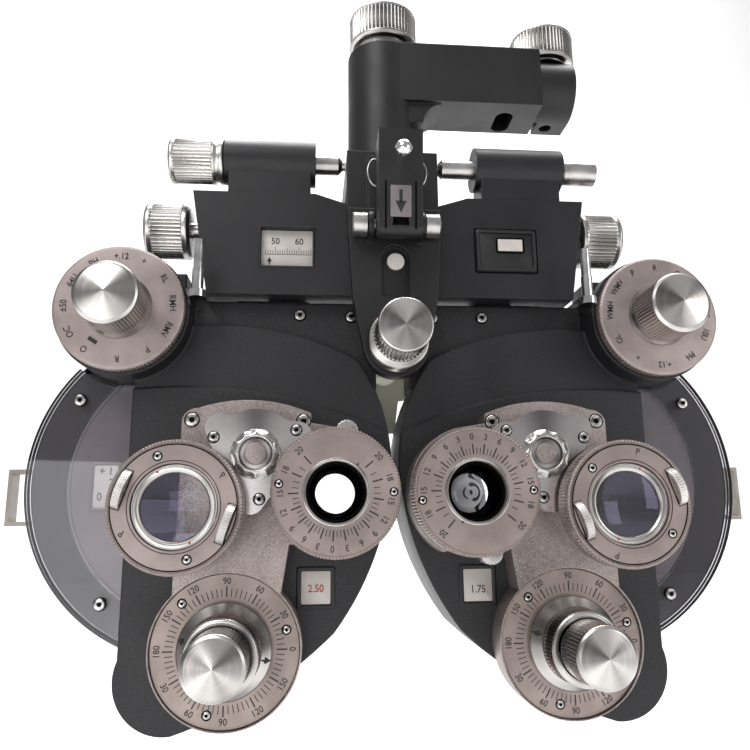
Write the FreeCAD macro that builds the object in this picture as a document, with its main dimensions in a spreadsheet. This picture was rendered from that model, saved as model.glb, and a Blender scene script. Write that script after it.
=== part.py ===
# Manual phoropter: two refracting heads that hang from a yoke on an L-shaped mounting arm.
# Sizes are in millimetres. x runs across the instrument, y from the examiner's side to the
# patient's side and z up. The driving sizes are measured from the hub datum: x = 0 on the plane of
# symmetry, y = 0 on the turret buttons, z = 0 at the height of the turret hubs. Every finished piece
# is then moved so that the origin lies at the mouth of the bore that takes the stand's pin.
import FreeCAD, Part
import os
import re
import Sketcher

Vector = FreeCAD.Vector

SIZES = {
    # stand bore at the end of the mounting arm: the origin of the finished pieces
    "mouthX": 92.0, "mouthY": 53.0, "mouthZ": 184.0, "boreRadius": 8.0, "boreDepth": 26.0,
    # mounting arm
    "postY": 54.0, "postRadius": 17.5, "postBottom": 133.5, "armBottom": 169.0, "armTop": 199.0,
    "armFront": 37.5, "armBack": 64.0, "bossInner": 74.5, "bossRound": 15.0, "webRadius": 10.0,
    "slotX": 58.8, "slotHalfWidth": 4.3, "slotHalfLength": 4.2, "slotDepth": 12.0,
    "lockRadius": 16.7, "lockBottom": 204.5, "lockTop": 222.0, "lockNeck": 13.0,
    "clampX": 82.0, "clampY": 57.0, "clampRadius": 15.8, "clampTop": 217.0, "screwRadius": 3.0,
    # yoke bracket
    "spindleRadius": 8.0, "spindleTop": 186.0, "yokeTop": 133.0, "yokeHalf": 19.7, "yokeFront": 21.5,
    "yokeBack": 72.0, "yokeUnder": 117.0, "apronFront": 16.3, "apronBack": 23.35, "apronTop": 104.0,
    "tiltZ": 94.0, "tiltPin": 5.0, "tiltPinEnd": 36.0, "runGap": 0.05,
    # rod holder on the yoke
    "hingeY": 11.25, "hingeZ": 94.4, "hingePin": 2.5, "hingeHead": 4.9, "holderHalf": 8.7,
    "holderTop": 126.0, "rodSocket": 4.0, "ballZ": 113.6, "ballRadius": 3.3,
    # forehead rest and its knob
    "restZ": 45.4, "restShaft": 3.0, "restKnob": 10.4, "restFlange": 12.4, "restFace": -14.2,
    # interpupillary housing
    "housingFront": 23.75, "housingBack": 60.0, "housingTop": 113.3, "housingBottom": 68.0,
    "housingHalf": 84.6, "housingHalfLow": 77.5, "saddleHalf": 17.5,
    "levelY": 31.5, "levelZ": 130.5, "levelTube": 9.8, "levelRod": 4.3, "levelTip": 2.2,
    "levelInner": 33.0, "levelOuter": 72.3, "plungerShift": 4.5, "levelKnob": 9.8, "levelKnobEnd": 95.9,
    "tipGap": 0.3,
    "screwY": 45.0, "screwZ": 103.3, "screwRod": 4.0, "pdKnob": 12.6, "pdKnobInner": 87.4,
    "pdKnobOuter": 107.0,
    # carriage of one head and its vertical hinge, at the closest setting
    "pivotX": 45.0, "pivotY": 39.0, "pivotPin": 3.0, "headTop": 61.0, "lipTop": 67.0, "pdTravel": 12.5,
    "carriageInner": 30.0, "carriageOuter": 62.0,
    # head casting
    "plateFront": 32.4, "bandFront": 27.5, "bulgeFront": 25.4, "castBack": 49.9, "edgeX": 104.8,
    "shoulderX": 87.0, "shoulderTop": 79.0, "plateInner": 7.0, "rearBack": 62.0,
    "discX": 78.0, "discZ": -8.4, "coverRadius": 69.0, "wheelRadius": 69.8,
    "coverFront": 35.4, "coverWall": 2.0, "shelfFront": 39.5, "shelfBack": 41.3,
    "sightX": 25.0, "sightZ": -14.3, "sightRadius": 9.5, "eyeTube": 13.0, "eyeTubeEnd": 70.0,
    # face plate
    "faceFront": 12.8, "hubX": 53.96, "hubShaft": 5.0,
    # cylinder controls
    "cylX": 64.2, "cylZ": -69.5, "cylDial": 26.6, "cylDialFront": 14.0, "cylDialBack": 18.5,
    "cylFlange": 17.0, "cylRing": 13.2, "powerKnob": 10.6, "powerFace": -20.0, "cylDiscX": 47.5,
    "cylDiscZ": -26.0, "cylDiscRadius": 36.5,
    # auxiliary lens dial
    "auxX": 108.8, "auxZ": 57.9, "auxDial": 25.1, "auxDialFront": 11.7, "auxKnob": 12.0,
    "auxFace": -7.4, "auxDrum": 26.0, "auxShaft": 4.0,
    # lens turret: two ring arms under a three-lobed clamp plate
    "armReach": 32.27, "prismAngle": 206.3, "jccAngle": 324.0, "lobeReach": 16.6, "lobeRadius": 5.2,
    "lobeAngle": 36.0, "clampFront": 1.6, "clampBack": 6.0, "ringRadius": 22.9, "ringFront": -8.4,
    "ringBack": -0.8, "holderFront": -0.5, "holderBack": 1.3, "holderRadius": 21.8, "dialFront": -10.2,
    "dialRadius": 21.6, "prismOpening": 10.7, "prismSpigot": 14.0, "prismTube": 17.0,
    "pinionRadius": 4.0, "pinionReach": 21.9, "jccOpening": 14.7, "jccSpigot": 16.6,
    "jccTube": 18.6, "flipY": -8.2, "flipOuter": 14.3, "flipInner": 12.3, "flipTilt": 18.6,
    "thumbWheel": 7.2, "thumbReach": 18.5,
}

doc = FreeCAD.newDocument("phoropter")
sheet = doc.addObject("Spreadsheet::Sheet", "sizes")
for row, (alias, size) in enumerate(SIZES.items(), start=1):
    sheet.set("A%d" % row, alias)
    sheet.set("B%d" % row, str(size))
    sheet.setAlias("B%d" % row, alias)
doc.recompute()

nodes = {}
aliasPattern = re.compile(r"\b(" + "|".join(SIZES) + r")\b")


def bound(text):
    # An expression on the sheet's aliases, written without the sheet's name.
    return aliasPattern.sub(r"sizes.\1", str(text))


def number(text):
    return float(sheet.evalExpression(str(text)))


def bind(item, **expressions):
    for name, text in expressions.items():
        item.setExpression(name.replace("_", "."), bound(text))
    return item


def place(item, x, y, z):
    bind(item, Placement_Base_x=x, Placement_Base_y=y, Placement_Base_z=z)
    return item


# ---------------------------------------------------------------- solids bound to the sheet

def rodY(name, radius, start, end, x="0", z="0"):
    item = doc.addObject("Part::Cylinder", name)
    item.Placement.Rotation = FreeCAD.Rotation(Vector(1, 0, 0), -90)
    bind(item, Radius=radius, Height="(%s) - (%s)" % (end, start))
    return place(item, x, start, z)


def rodX(name, radius, start, end, y="0", z="0"):
    item = doc.addObject("Part::Cylinder", name)
    item.Placement.Rotation = FreeCAD.Rotation(Vector(0, 1, 0), 90)
    bind(item, Radius=radius, Height="(%s) - (%s)" % (end, start))
    return place(item, start, y, z)


def rodZ(name, radius, start, end, x="0", y="0"):
    item = doc.addObject("Part::Cylinder", name)
    bind(item, Radius=radius, Height="(%s) - (%s)" % (end, start))
    return place(item, x, y, start)


def taperY(name, radius, endRadius, start, end, x="0", z="0"):
    item = doc.addObject("Part::Cone", name)
    item.Placement.Rotation = FreeCAD.Rotation(Vector(1, 0, 0), -90)
    bind(item, Radius1=radius, Radius2=endRadius, Height="(%s) - (%s)" % (end, start))
    return place(item, x, start, z)


def taperX(name, radius, endRadius, start, end, y="0", z="0"):
    item = doc.addObject("Part::Cone", name)
    item.Placement.Rotation = FreeCAD.Rotation(Vector(0, 1, 0), 90)
    bind(item, Radius1=radius, Radius2=endRadius, Height="(%s) - (%s)" % (end, start))
    return place(item, start, y, z)


def taperZ(name, radius, endRadius, start, end, x="0", y="0"):
    item = doc.addObject("Part::Cone", name)
    bind(item, Radius1=radius, Radius2=endRadius, Height="(%s) - (%s)" % (end, start))
    return place(item, x, y, start)


def block(name, xs, ys, zs):
    item = doc.addObject("Part::Box", name)
    spans = ["(%s) - (%s)" % (end, start) for start, end in (xs, ys, zs)]
    bind(item, Length=spans[0], Width=spans[1], Height=spans[2])
    return place(item, xs[0], ys[0], zs[0])


def fuse(name, *pieces):
    item = doc.addObject("Part::MultiFuse", name)
    item.Shapes = list(pieces)
    return item


def cut(name, base, *tools):
    item = doc.addObject("Part::Cut", name)
    item.Base = base
    item.Tool = tools[0] if len(tools) == 1 else fuse(name + "Tools", *tools)
    return item


def common(name, *pieces):
    item = doc.addObject("Part::MultiCommon", name)
    item.Shapes = list(pieces)
    return item


def knobY(name, radius, start, end, x, z, chamfer="0.8"):
    # A turned knob along y with a chamfer at each end.
    inner = "(%s) - (%s)" % (radius, chamfer)
    body = rodY(name + "Body", radius, "%s + %s" % (start, chamfer), "%s - %s" % (end, chamfer), x, z)
    face = taperY(name + "Face", inner, radius, start, "%s + %s" % (start, chamfer), x, z)
    back = taperY(name + "Back", radius, inner, "%s - %s" % (end, chamfer), end, x, z)
    return fuse(name, body, face, back)


def knobX(name, radius, start, end, y, z, chamfer="0.8"):
    inner = "(%s) - (%s)" % (radius, chamfer)
    body = rodX(name + "Body", radius, "%s + %s" % (start, chamfer), "%s - %s" % (end, chamfer), y, z)
    face = taperX(name + "Face", inner, radius, start, "%s + %s" % (start, chamfer), y, z)
    back = taperX(name + "Back", radius, inner, "%s - %s" % (end, chamfer), end, y, z)
    return fuse(name, body, face, back)


def knobZ(name, radius, start, end, x, y, chamfer="0.8"):
    inner = "(%s) - (%s)" % (radius, chamfer)
    body = rodZ(name + "Body", radius, "%s + %s" % (start, chamfer), "%s - %s" % (end, chamfer), x, y)
    foot = taperZ(name + "Foot", inner, radius, start, "%s + %s" % (start, chamfer), x, y)
    head = taperZ(name + "Head", radius, inner, "%s - %s" % (end, chamfer), end, x, y)
    return fuse(name, body, foot, head)


# ---------------------------------------------------------------- sketched plates

def originFeature(body, role):
    return next(item for item in body.Origin.OriginFeatures if item.Role == role)


def frontSketch(body, name):
    sketch = body.newObject("Sketcher::SketchObject", name)
    sketch.AttachmentSupport = [(originFeature(body, "XZ_Plane"), "")]
    sketch.MapMode = "FlatFace"
    return sketch


def fixPoint(sketch, edge, end, x, z):
    for kind, text in (("DistanceX", x), ("DistanceY", z)):
        index = sketch.addConstraint(Sketcher.Constraint(kind, -1, 1, edge, end, number(text)))
        sketch.setExpression("Constraints[%d]" % index, bound(text))


def addCircle(sketch, x, z, radius):
    centre = Vector(number(x), number(z), 0)
    edge = sketch.addGeometry(Part.Circle(centre, Vector(0, 0, 1), number(radius)))
    fixPoint(sketch, edge, 3, x, z)
    index = sketch.addConstraint(Sketcher.Constraint("Radius", edge, number(radius)))
    sketch.setExpression("Constraints[%d]" % index, bound(radius))


def arcCentre(start, end, radius):
    # Centre of the short arc from start to end: left of the way for a radius above zero.
    middle = (start + end) * 0.5
    half = (end - start) * 0.5
    rise = max(radius * radius - half.Length ** 2, 0) ** 0.5
    left = Vector(-half.y, half.x, 0).normalize()
    return middle + left * (rise if radius > 0 else -rise)


def addOutline(sketch, corners):
    # corners: (x, z, bend), where bend is 0 for a straight edge to the next corner, or the radius of
    # an arc that turns left (above zero) or right (below zero).
    points = [Vector(number(x), number(z), 0) for x, z, bend in corners]
    starts = []
    ends = []
    for index, (x, z, bend) in enumerate(corners):
        start = points[index]
        end = points[(index + 1) % len(points)]
        radius = number(bend)
        if radius == 0:
            edge = sketch.addGeometry(Part.LineSegment(start, end))
            first, last = 1, 2
        else:
            centre = arcCentre(start, end, radius)
            circle = Part.Circle(centre, Vector(0, 0, 1), abs(radius))
            angles = [circle.parameter(start), circle.parameter(end)]
            if radius < 0:
                angles.reverse()
            edge = sketch.addGeometry(Part.ArcOfCircle(circle, angles[0], angles[1]))
            first, last = (1, 2) if radius > 0 else (2, 1)
        starts.append((edge, first))
        ends.append((edge, last))
    for index, (edge, last) in enumerate(ends):
        follower, first = starts[(index + 1) % len(starts)]
        sketch.addConstraint(Sketcher.Constraint("Coincident", edge, last, follower, first))
    for (edge, first), (x, z, bend) in zip(starts, corners):
        fixPoint(sketch, edge, first, x, z)
        if number(bend) != 0:
            index = sketch.addConstraint(Sketcher.Constraint("Radius", edge, abs(number(bend))))
            sketch.setExpression("Constraints[%d]" % index, bound("abs(%s)" % bend))


def plate(name, corners, start, end):
    # A plate of one outline, from y = start to y = end.
    body = doc.addObject("PartDesign::Body", name)
    sketch = frontSketch(body, name + "Sketch")
    addOutline(sketch, corners)
    pad = body.newObject("PartDesign::Pad", name + "Pad")
    pad.Profile = sketch
    pad.Reversed = True
    bind(pad, Length="(%s) - (%s)" % (end, start))
    bind(body, Placement_Base_y=start)
    return body


def lensDisc(name, x, z, start, end, radius, bore, hole, holes):
    # A disc with a bore and a ring of lens holes, one of which lies on the line of sight.
    body = doc.addObject("PartDesign::Body", name)
    rim = frontSketch(body, name + "Rim")
    addCircle(rim, "0", "0", radius)
    addCircle(rim, "0", "0", bore)
    pad = body.newObject("PartDesign::Pad", name + "Pad")
    pad.Profile = rim
    pad.Reversed = True
    bind(pad, Length="(%s) - (%s)" % (end, start))
    opening = frontSketch(body, name + "Hole")
    addCircle(opening, "sightX - (%s)" % x, "sightZ - (%s)" % z, hole)
    pocket = body.newObject("PartDesign::Pocket", name + "Pocket")
    pocket.Profile = opening
    pocket.Type = "ThroughAll"
    pocket.Midplane = True
    pattern = body.newObject("PartDesign::PolarPattern", name + "Pattern")
    pattern.Originals = [pocket]
    pattern.Axis = (originFeature(body, "Y_Axis"), [""])
    pattern.Angle = 360
    bind(pattern, Occurrences=holes)
    body.Tip = pattern
    return place(body, x, start, z)


def finish(name, *pieces):
    # A finished piece: its node name, and the move from the hub datum to the stand bore.
    node = doc.addObject("Part::Compound", name)
    node.Links = list(pieces)
    node.Label = name
    nodes[name] = place(node, "-mouthX", "-mouthY", "-mouthZ")


# ---------------------------------------------------------------- mounting arm and yoke

def makeMountArm():
    # L-shaped casting: a hollow post over the yoke's spindle, a square bar and a round-fronted boss
    # bored for the stand's pin.
    post = rodZ("post", "postRadius", "postBottom", "armTop", "0", "postY")
    bar = block("bar", ("0", "bossInner"), ("armFront", "armBack"), ("armBottom", "armTop"))
    nose = rodX("bossNose", "bossRound", "bossInner", "mouthX", "armFront + bossRound + 0.5", "mouthZ")
    heel = block("bossHeel", ("bossInner", "mouthX"), ("mouthY", "armBack"), ("armBottom", "armTop"))
    # the web under the bar has a hollow face, which runs a little way into the post
    webBlank = block("webBlank", ("0", "postRadius + webRadius - 1.5"), ("armFront + 2.5", "armBack - 2"),
                     ("armBottom - webRadius", "armBottom"))
    webHollow = rodY("webHollow", "webRadius", "armFront + 2.5", "armBack - 2",
                     "postRadius + webRadius - 0.4", "armBottom - webRadius - 0.3")
    web = cut("web", webBlank, webHollow)
    casting = fuse("armCasting", post, bar, nose, heel, web)
    spindleBore = rodZ("spindleBore", "spindleRadius + runGap", "postBottom", "spindleTop + 1", "0", "postY")
    screwBore = rodZ("lockScrewBore", "4 + runGap", "spindleTop", "armTop", "0", "postY")
    standBore = rodX("standBore", "boreRadius", "mouthX - boreDepth", "mouthX", "mouthY", "mouthZ")
    clampBore = rodZ("clampBore", "screwRadius + runGap", "mouthZ", "armTop", "clampX", "clampY")
    tappedHole = rodZ("tappedHole", "screwRadius", "armBottom", "armBottom + 5", "clampX", "clampY + 1")
    slotEnds = [rodZ("slotEnd%d" % index, "slotHalfWidth", "armBottom", "armBottom + slotDepth", "slotX",
                     "postY %s slotHalfLength" % sign) for index, sign in enumerate("+-")]
    slotMiddle = block("slotMiddle", ("slotX - slotHalfWidth", "slotX + slotHalfWidth"),
                       ("postY - slotHalfLength", "postY + slotHalfLength"),
                       ("armBottom", "armBottom + slotDepth"))
    split = block("bossSplit", ("bossInner + 0.4", "bossInner + 2"), ("mouthY", "armBack + 1"),
                  ("armBottom - 1", "armBottom + 5"))
    finish("mount_arm", cut("armBored", casting, spindleBore, screwBore, standBore, clampBore, tappedHole,
                            slotMiddle, split, *slotEnds))


def makeArmKnobs():
    # Both knobs stand on the arm: one locks the swivel, the other clamps the stand's pin.
    grip = knobZ("lockGrip", "lockRadius", "lockBottom", "lockTop", "0", "postY", "1.3")
    neck = rodZ("lockNeck", "lockNeck", "armTop + 0.3", "lockBottom", "0", "postY")
    stem = rodZ("lockStem", "4", "spindleTop + 1.3", "armTop + 0.3", "0", "postY")
    finish("post_lock_knob", fuse("lockKnob", grip, neck, stem))
    grip = knobZ("clampGrip", "clampRadius", "armTop + 1", "clampTop", "clampX", "clampY", "1.3")
    neck = rodZ("clampNeck", "clampRadius - 4", "armTop + 0.3", "armTop + 1", "clampX", "clampY")
    stem = rodZ("clampStem", "screwRadius", "mouthZ + boreRadius + 0.5", "armTop + 0.3", "clampX", "clampY")
    finish("arm_clamp_knob", fuse("clampKnob", grip, neck, stem))


def makeYokeBracket():
    # Black casting: head block with the spindle, and an apron in front of the housing that carries
    # the tilt pin, the rod holder's ears and the forehead knob.
    apron = plate("apron", [
        ("13.3", "restZ - 1.5", 0), ("17.6", "66", 0), ("19.2", "92", 0), ("yokeHalf", "apronTop", 0),
        ("-yokeHalf", "apronTop", 0), ("-19.2", "92", 0), ("-17.6", "66", 0),
        ("-13.3", "restZ - 1.5", "13.4")], "apronFront", "apronBack")
    skirt = block("skirt", ("-yokeHalf", "yokeHalf"), ("yokeFront", "apronBack"),
                  ("apronTop - 2", "yokeTop"))
    spine = block("spine", ("-11", "11"), ("apronFront + 2", "apronBack"), ("apronTop - 2", "yokeTop - 4"))
    headBlock = block("headBlock", ("-yokeHalf", "yokeHalf"), ("yokeFront", "yokeBack"),
                      ("yokeUnder", "yokeTop"))
    spindle = rodZ("spindle", "spindleRadius", "yokeTop - 1", "spindleTop", "0", "postY")
    tiltPin = rodY("tiltPin", "tiltPin", "apronBack - 1", "tiltPinEnd", "0", "tiltZ")
    ears = []
    for index, side in enumerate(("1", "-1")):
        middle = "%s * 10.4" % side
        eye = rodX("ear%d" % index, "5.4", "%s - 1.1" % middle, "%s + 1.1" % middle, "hingeY", "hingeZ")
        stem = block("earStem%d" % index, ("%s - 1.1" % middle, "%s + 1.1" % middle),
                     ("hingeY", "apronFront + 1"), ("hingeZ - 5.4", "hingeZ + 5.4"))
        ears += [eye, stem]
    casting = fuse("yokeCasting", apron, skirt, spine, headBlock, spindle, tiltPin, *ears)
    shaftBore = rodY("restShaftBore", "restShaft + runGap", "apronFront", "apronBack", "0", "restZ")
    recess = block("recess", ("-5.8", "5.8"), ("apronFront", "apronFront + 2.4"), ("66", "82"))
    recessTop = rodY("recessTop", "5.8", "apronFront", "apronFront + 2.4", "0", "82")
    pinBore = rodX("hingePinBore", "hingePin", "-12", "12", "hingeY", "hingeZ")
    finish("yoke_bracket", cut("yokeBored", casting, shaftBore, recess, recessTop, pinBore))


def makeRodHolder():
    # Hinged block for the near-point rod: the rod's socket runs up through it, and it swings forward
    # on the pin between the yoke's ears.
    cheek = rodX("holderEye", "4.6", "-holderHalf", "holderHalf", "hingeY", "hingeZ")
    body = doc.addObject("PartDesign::Body", "holderBody")
    sketch = body.newObject("Sketcher::SketchObject", "holderSketch")
    sketch.AttachmentSupport = [(originFeature(body, "YZ_Plane"), "")]
    sketch.MapMode = "FlatFace"
    addOutline(sketch, [
        ("-9.4", "holderTop", 0), ("-3.9", "88", "4"), ("1.4", "84.6", 0),
        ("hingeY - 2.5", "hingeZ - 3.8", 0),
        ("hingeY + 0.5", "hingeZ + 4.5", 0), ("5.6", "holderTop", 0)])
    pad = body.newObject("PartDesign::Pad", "holderPad")
    pad.Profile = sketch
    pad.Midplane = True
    bind(pad, Length="2 * holderHalf")
    socket = rodZ("rodSocket", "rodSocket", "88", "holderTop", "0", "-1.6")
    eyeBore = rodX("holderEyeBore", "hingePin + runGap", "-holderHalf", "holderHalf", "hingeY", "hingeZ")
    button = rodY("clampButtonStem", "1.6", "-15", "-5", "0", "ballZ")
    ball = doc.addObject("Part::Sphere", "clampBall")
    bind(ball, Radius="ballRadius")
    place(ball, "0", "-19.4 + ballRadius", "ballZ")
    drilled = cut("holderDrilled", fuse("holderBlank", body, cheek), socket, eyeBore)
    finish("rod_holder", fuse("holderWithBall", drilled, cut("ballStem", button, rodZ(
        "ballSocketClear", "rodSocket", "88", "holderTop", "0", "-1.6")), ball))
    pin = rodX("holderPinShaft", "hingePin", "-12", "12", "hingeY", "hingeZ")
    heads = [knobX("pinHead%d" % index, "hingeHead", start, end, "hingeY", "hingeZ", "0.5")
             for index, (start, end) in enumerate((("11.6", "18"), ("-18", "-11.6")))]
    finish("rod_holder_pin", fuse("holderPin", pin, *heads))


def makeForeheadRest():
    # The knob in front of the yoke drives the pad between the heads towards the patient.
    grip = knobY("restGrip", "restKnob", "restFace", "6", "0", "restZ", "0.6")
    collar = knobY("restCollar", "restFlange", "6", "apronFront - 0.4", "0", "restZ", "1.2")
    shaft = rodY("restShaftRod", "restShaft", "apronFront - 0.4", "64", "0", "restZ")
    finish("forehead_knob", fuse("restKnobTurned", grip, collar, shaft))
    hub = rodY("padHub", "6.5", "50", "72", "0", "restZ")
    pad = plate("padPlate", [
        ("-30", "restZ - 6", "-9.5"), ("-24", "restZ + 9", 0), ("24", "restZ + 9", "-9.5"),
        ("30", "restZ - 6", "-60"), ("7", "restZ - 14", 0), ("5", "16", 0), ("-5", "16", 0),
        ("-7", "restZ - 14", "-60")], "72", "76")
    shaftBore = rodY("padBore", "restShaft + runGap", "50", "65", "0", "restZ")
    finish("forehead_rest", cut("padBored", fuse("padBlank", hub, pad), shaftBore))


# ---------------------------------------------------------------- interpupillary housing

def makeHousing():
    # Tapered box across both heads with two level tubes on top, a cavity for each carriage, slots
    # underneath for the hangers and a window for the scale.
    shell = plate("housingShell", [
        ("-housingHalfLow", "housingBottom", 0), ("housingHalfLow", "housingBottom", 0),
        ("housingHalf", "housingTop", 0), ("levelInner", "housingTop", 0), ("18", "108.5", 0),
        ("-18", "108.5", 0), ("-levelInner", "housingTop", 0), ("-housingHalf", "housingTop", 0)],
        "housingFront", "housingBack")
    tubes = []
    bores = []
    for side, shift in (("-1", "0"), ("1", "plungerShift")):
        tag = "Left" if side == "-1" else "Right"
        ends = ["%s * levelInner + %s" % (side, shift), "%s * levelOuter + %s" % (side, shift)]
        ends = ends if side == "1" else ends[::-1]
        tubes.append(rodX("levelTube" + tag, "levelTube", ends[0], ends[1], "levelY", "levelZ"))
        middle = "%s * (levelInner + levelOuter) / 2 + %s" % (side, shift)
        tubes.append(block("saddle" + tag, ("%s - saddleHalf" % middle, "%s + saddleHalf" % middle),
                           ("housingFront + 0.8", "levelY + 8.5"), ("housingTop - 3", "levelZ - 3")))
        bores.append(rodX("levelBore" + tag, "levelRod + runGap", ends[0], ends[1], "levelY", "levelZ"))
        inner, outer = ("9", "76") if side == "1" else ("-76", "-9")
        bores.append(block("cavity" + tag, (inner, outer), ("27.5", "56"), ("74", "110")))
        bores.append(block("hangerSlot" + tag, (
            "%s * (pivotX + pdTravel / 2) - 15.4" % side, "%s * (pivotX + pdTravel / 2) + 15.4" % side),
            ("34", "49"), ("housingBottom", "74")))
        wall = ("76", "housingHalf") if side == "1" else ("-housingHalf", "-76")
        bores.append(rodX("spindleBush" + tag, "screwRod + runGap", wall[0], wall[1], "screwY", "screwZ"))
    middleBore = rodX("spindleMiddle", "screwRod + runGap", "-9", "9", "screwY", "screwZ")
    tiltBore = rodY("tiltBore", "tiltPin + runGap", "housingFront", "tiltPinEnd + 0.5", "0", "tiltZ")
    window = block("scaleWindow", ("-55.8", "-34"), ("housingFront", "27.5"), ("80.5", "97.5"))
    levelRecess = block("levelRecess", ("35.2", "62.9"), ("housingFront", "housingFront + 1.5"),
                        ("79.2", "99.5"))
    finish("pd_housing", cut("housingBored", fuse("housingBlank", shell, *tubes), middleBore, tiltBore,
                             window, levelRecess, *bores))


def makeLevelParts():
    # The level screw presses on the yoke from one side and a sprung plunger from the other.
    rod = rodX("levelScrewRod", "levelRod", "-levelOuter + 2", "-yokeHalf - 3.4", "levelY", "levelZ")
    thread = rodX("levelThread", "2.5", "-levelKnobEnd + 4", "-levelOuter + 2", "levelY", "levelZ")
    nose = taperX("levelNose", "levelRod", "levelTip", "-yokeHalf - 3.4", "-yokeHalf - 1.6",
                  "levelY", "levelZ")
    tip = rodX("levelTipLeft", "levelTip", "-yokeHalf - 1.6", "-yokeHalf - tipGap", "levelY", "levelZ")
    finish("level_screw", fuse("levelScrew", rod, thread, nose, tip))
    grip = knobX("levelGrip", "levelKnob", "-levelKnobEnd", "-levelOuter - 0.4", "levelY", "levelZ", "0.8")
    bore = rodX("levelGripBore", "2.5 + runGap", "-levelKnobEnd + 2", "-levelOuter - 0.4",
                "levelY", "levelZ")
    finish("level_knob", cut("levelKnobBored", grip, bore))
    rod = rodX("plungerRod", "levelRod", "yokeHalf + 3.4", "93.4", "levelY", "levelZ")
    nose = taperX("plungerNose", "levelTip", "levelRod", "yokeHalf + 1.6", "yokeHalf + 3.4",
                  "levelY", "levelZ")
    tip = rodX("plungerTip", "levelTip", "yokeHalf + tipGap", "yokeHalf + 1.6", "levelY", "levelZ")
    sleeve = rodX("plungerSleeve", "5.6", "levelOuter + plungerShift + 2", "93.4", "levelY", "levelZ")
    finish("spring_plunger", fuse("plunger", rod, nose, tip, sleeve))


def makePupilDrive():
    # One spindle with a right-hand and a left-hand thread, and a knob on each end.
    finish("pd_spindle", rodX("pdSpindle", "screwRod", "-pdKnobOuter + 3", "pdKnobOuter - 3", "screwY",
                              "screwZ"))
    knobs = []
    for index, (start, end) in enumerate((("pdKnobInner", "pdKnobOuter"), ("-pdKnobOuter", "-pdKnobInner"))):
        grip = knobX("pdGrip%d" % index, "pdKnob", start, end, "screwY", "screwZ", "0.9")
        bore = rodX("pdGripBore%d" % index, "screwRod", "-pdKnobOuter + 3", "pdKnobOuter - 3", "screwY",
                    "screwZ")
        knobs.append(cut("pdKnob%d" % index, grip, bore))
    finish("pd_knobs", *knobs)


def makeCarriage():
    # Carriage on the spindle with a hanger that reaches through the housing to the head's hinge pin.
    nut = block("carriageNut", ("carriageInner", "carriageOuter"), ("36", "52"), ("78", "109"))
    hanger = block("hanger", ("pivotX - 8", "pivotX + 8"), ("34.8", "48"), ("headTop + 0.4", "78.5"))
    thread = rodX("carriageThread", "screwRod + runGap", "carriageInner", "carriageOuter",
                  "screwY", "screwZ")
    hinge = rodZ("hangerBore", "pivotPin + runGap", "headTop + 0.4", "headTop + 12", "pivotX", "pivotY")
    finish("right_pd_slide", cut("carriageBored", fuse("carriageBlank", nut, hanger), thread, hinge))


# ---------------------------------------------------------------- castings of one head (right head)

# Temple edge, bottom and nasal side of the head, and the two curves that can close it above: the brow
# of the whole casting, and the lower line where the bulge in front of it starts.
lowerEdge = [("edgeX", "-74", "-19.6"), ("84.3", "-100.7", "-150"), ("24.5", "-66", "-110"),
             ("2.3", "-12", "-75")]
browEdge = [("15", "41.5", "-119"), ("edgeX", "50.8", 0)]
bulgeEdge = [("3.0", "11.5", "-194"), ("edgeX", "28.2", 0)]


def makeFrontShell():
    # Three steps: the upper plate at the back, a band below the brow and the bulge in front. Round
    # cavities inside hold the discs.
    upper = plate("upperPlate", [
        ("plateInner", "30", 0), ("plateInner", "headTop", 0), ("shoulderX", "headTop", 0),
        ("shoulderX", "shoulderTop", 0), ("edgeX", "shoulderTop", 0), ("edgeX", "30", 0)],
        "plateFront", "castBack")
    lip = block("upperLip", ("plateInner", "shoulderX"), ("plateFront", "plateFront + 2.1"),
                ("headTop - 1", "lipTop"))
    lower = plate("browPlate", lowerEdge + browEdge, "bandFront", "castBack")
    bulge = plate("bulgePlate", lowerEdge + bulgeEdge, "bulgeFront", "bandFront")
    drum = rodY("auxDrum", "auxDrum", "auxDialFront + 5.6", "castBack", "auxX", "auxZ")
    shelf = common("shelf", rodY("shelfDisc", "coverRadius - 0.2", "shelfFront", "shelfBack",
                                 "discX", "discZ"),
                   block("shelfSide", ("edgeX - 1", "discX + 75"), ("shelfFront", "shelfBack"),
                         ("-75", "37")))
    casting = fuse("frontCasting", upper, lip, lower, bulge, drum, shelf)
    wheelRoom = rodY("wheelRoom", "wheelRadius + 0.7", "shelfBack", "castBack", "discX", "discZ")
    discRoom = rodY("cylinderRoom", "cylDiscRadius + 0.6", "28.4", "shelfBack", "cylDiscX", "cylDiscZ")
    sight = rodY("sightFront", "sightRadius + 1", "bulgeFront", "30", "sightX", "sightZ")
    bores = [
        rodY("hubBore", "hubShaft + runGap", "bulgeFront", "28.4", "hubX", "0"),
        rodY("cylBore", "6 + runGap", "bulgeFront", "38", "cylX", "cylZ"),
        rodY("auxBore", "auxShaft + runGap", "auxDialFront + 5.6", "36", "auxX", "auxZ")]
    hingePin = rodZ("hingePin", "pivotPin", "headTop - 2", "headTop + 10", "pivotX", "pivotY")
    axle = rodY("cylinderAxle", "auxShaft", "28", "36", "cylDiscX", "cylDiscZ")
    finish("right_front_shell", fuse("frontWithPins", cut("frontBored", casting, wheelRoom, discRoom, sight,
                                                          *bores), hingePin, axle))


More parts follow.
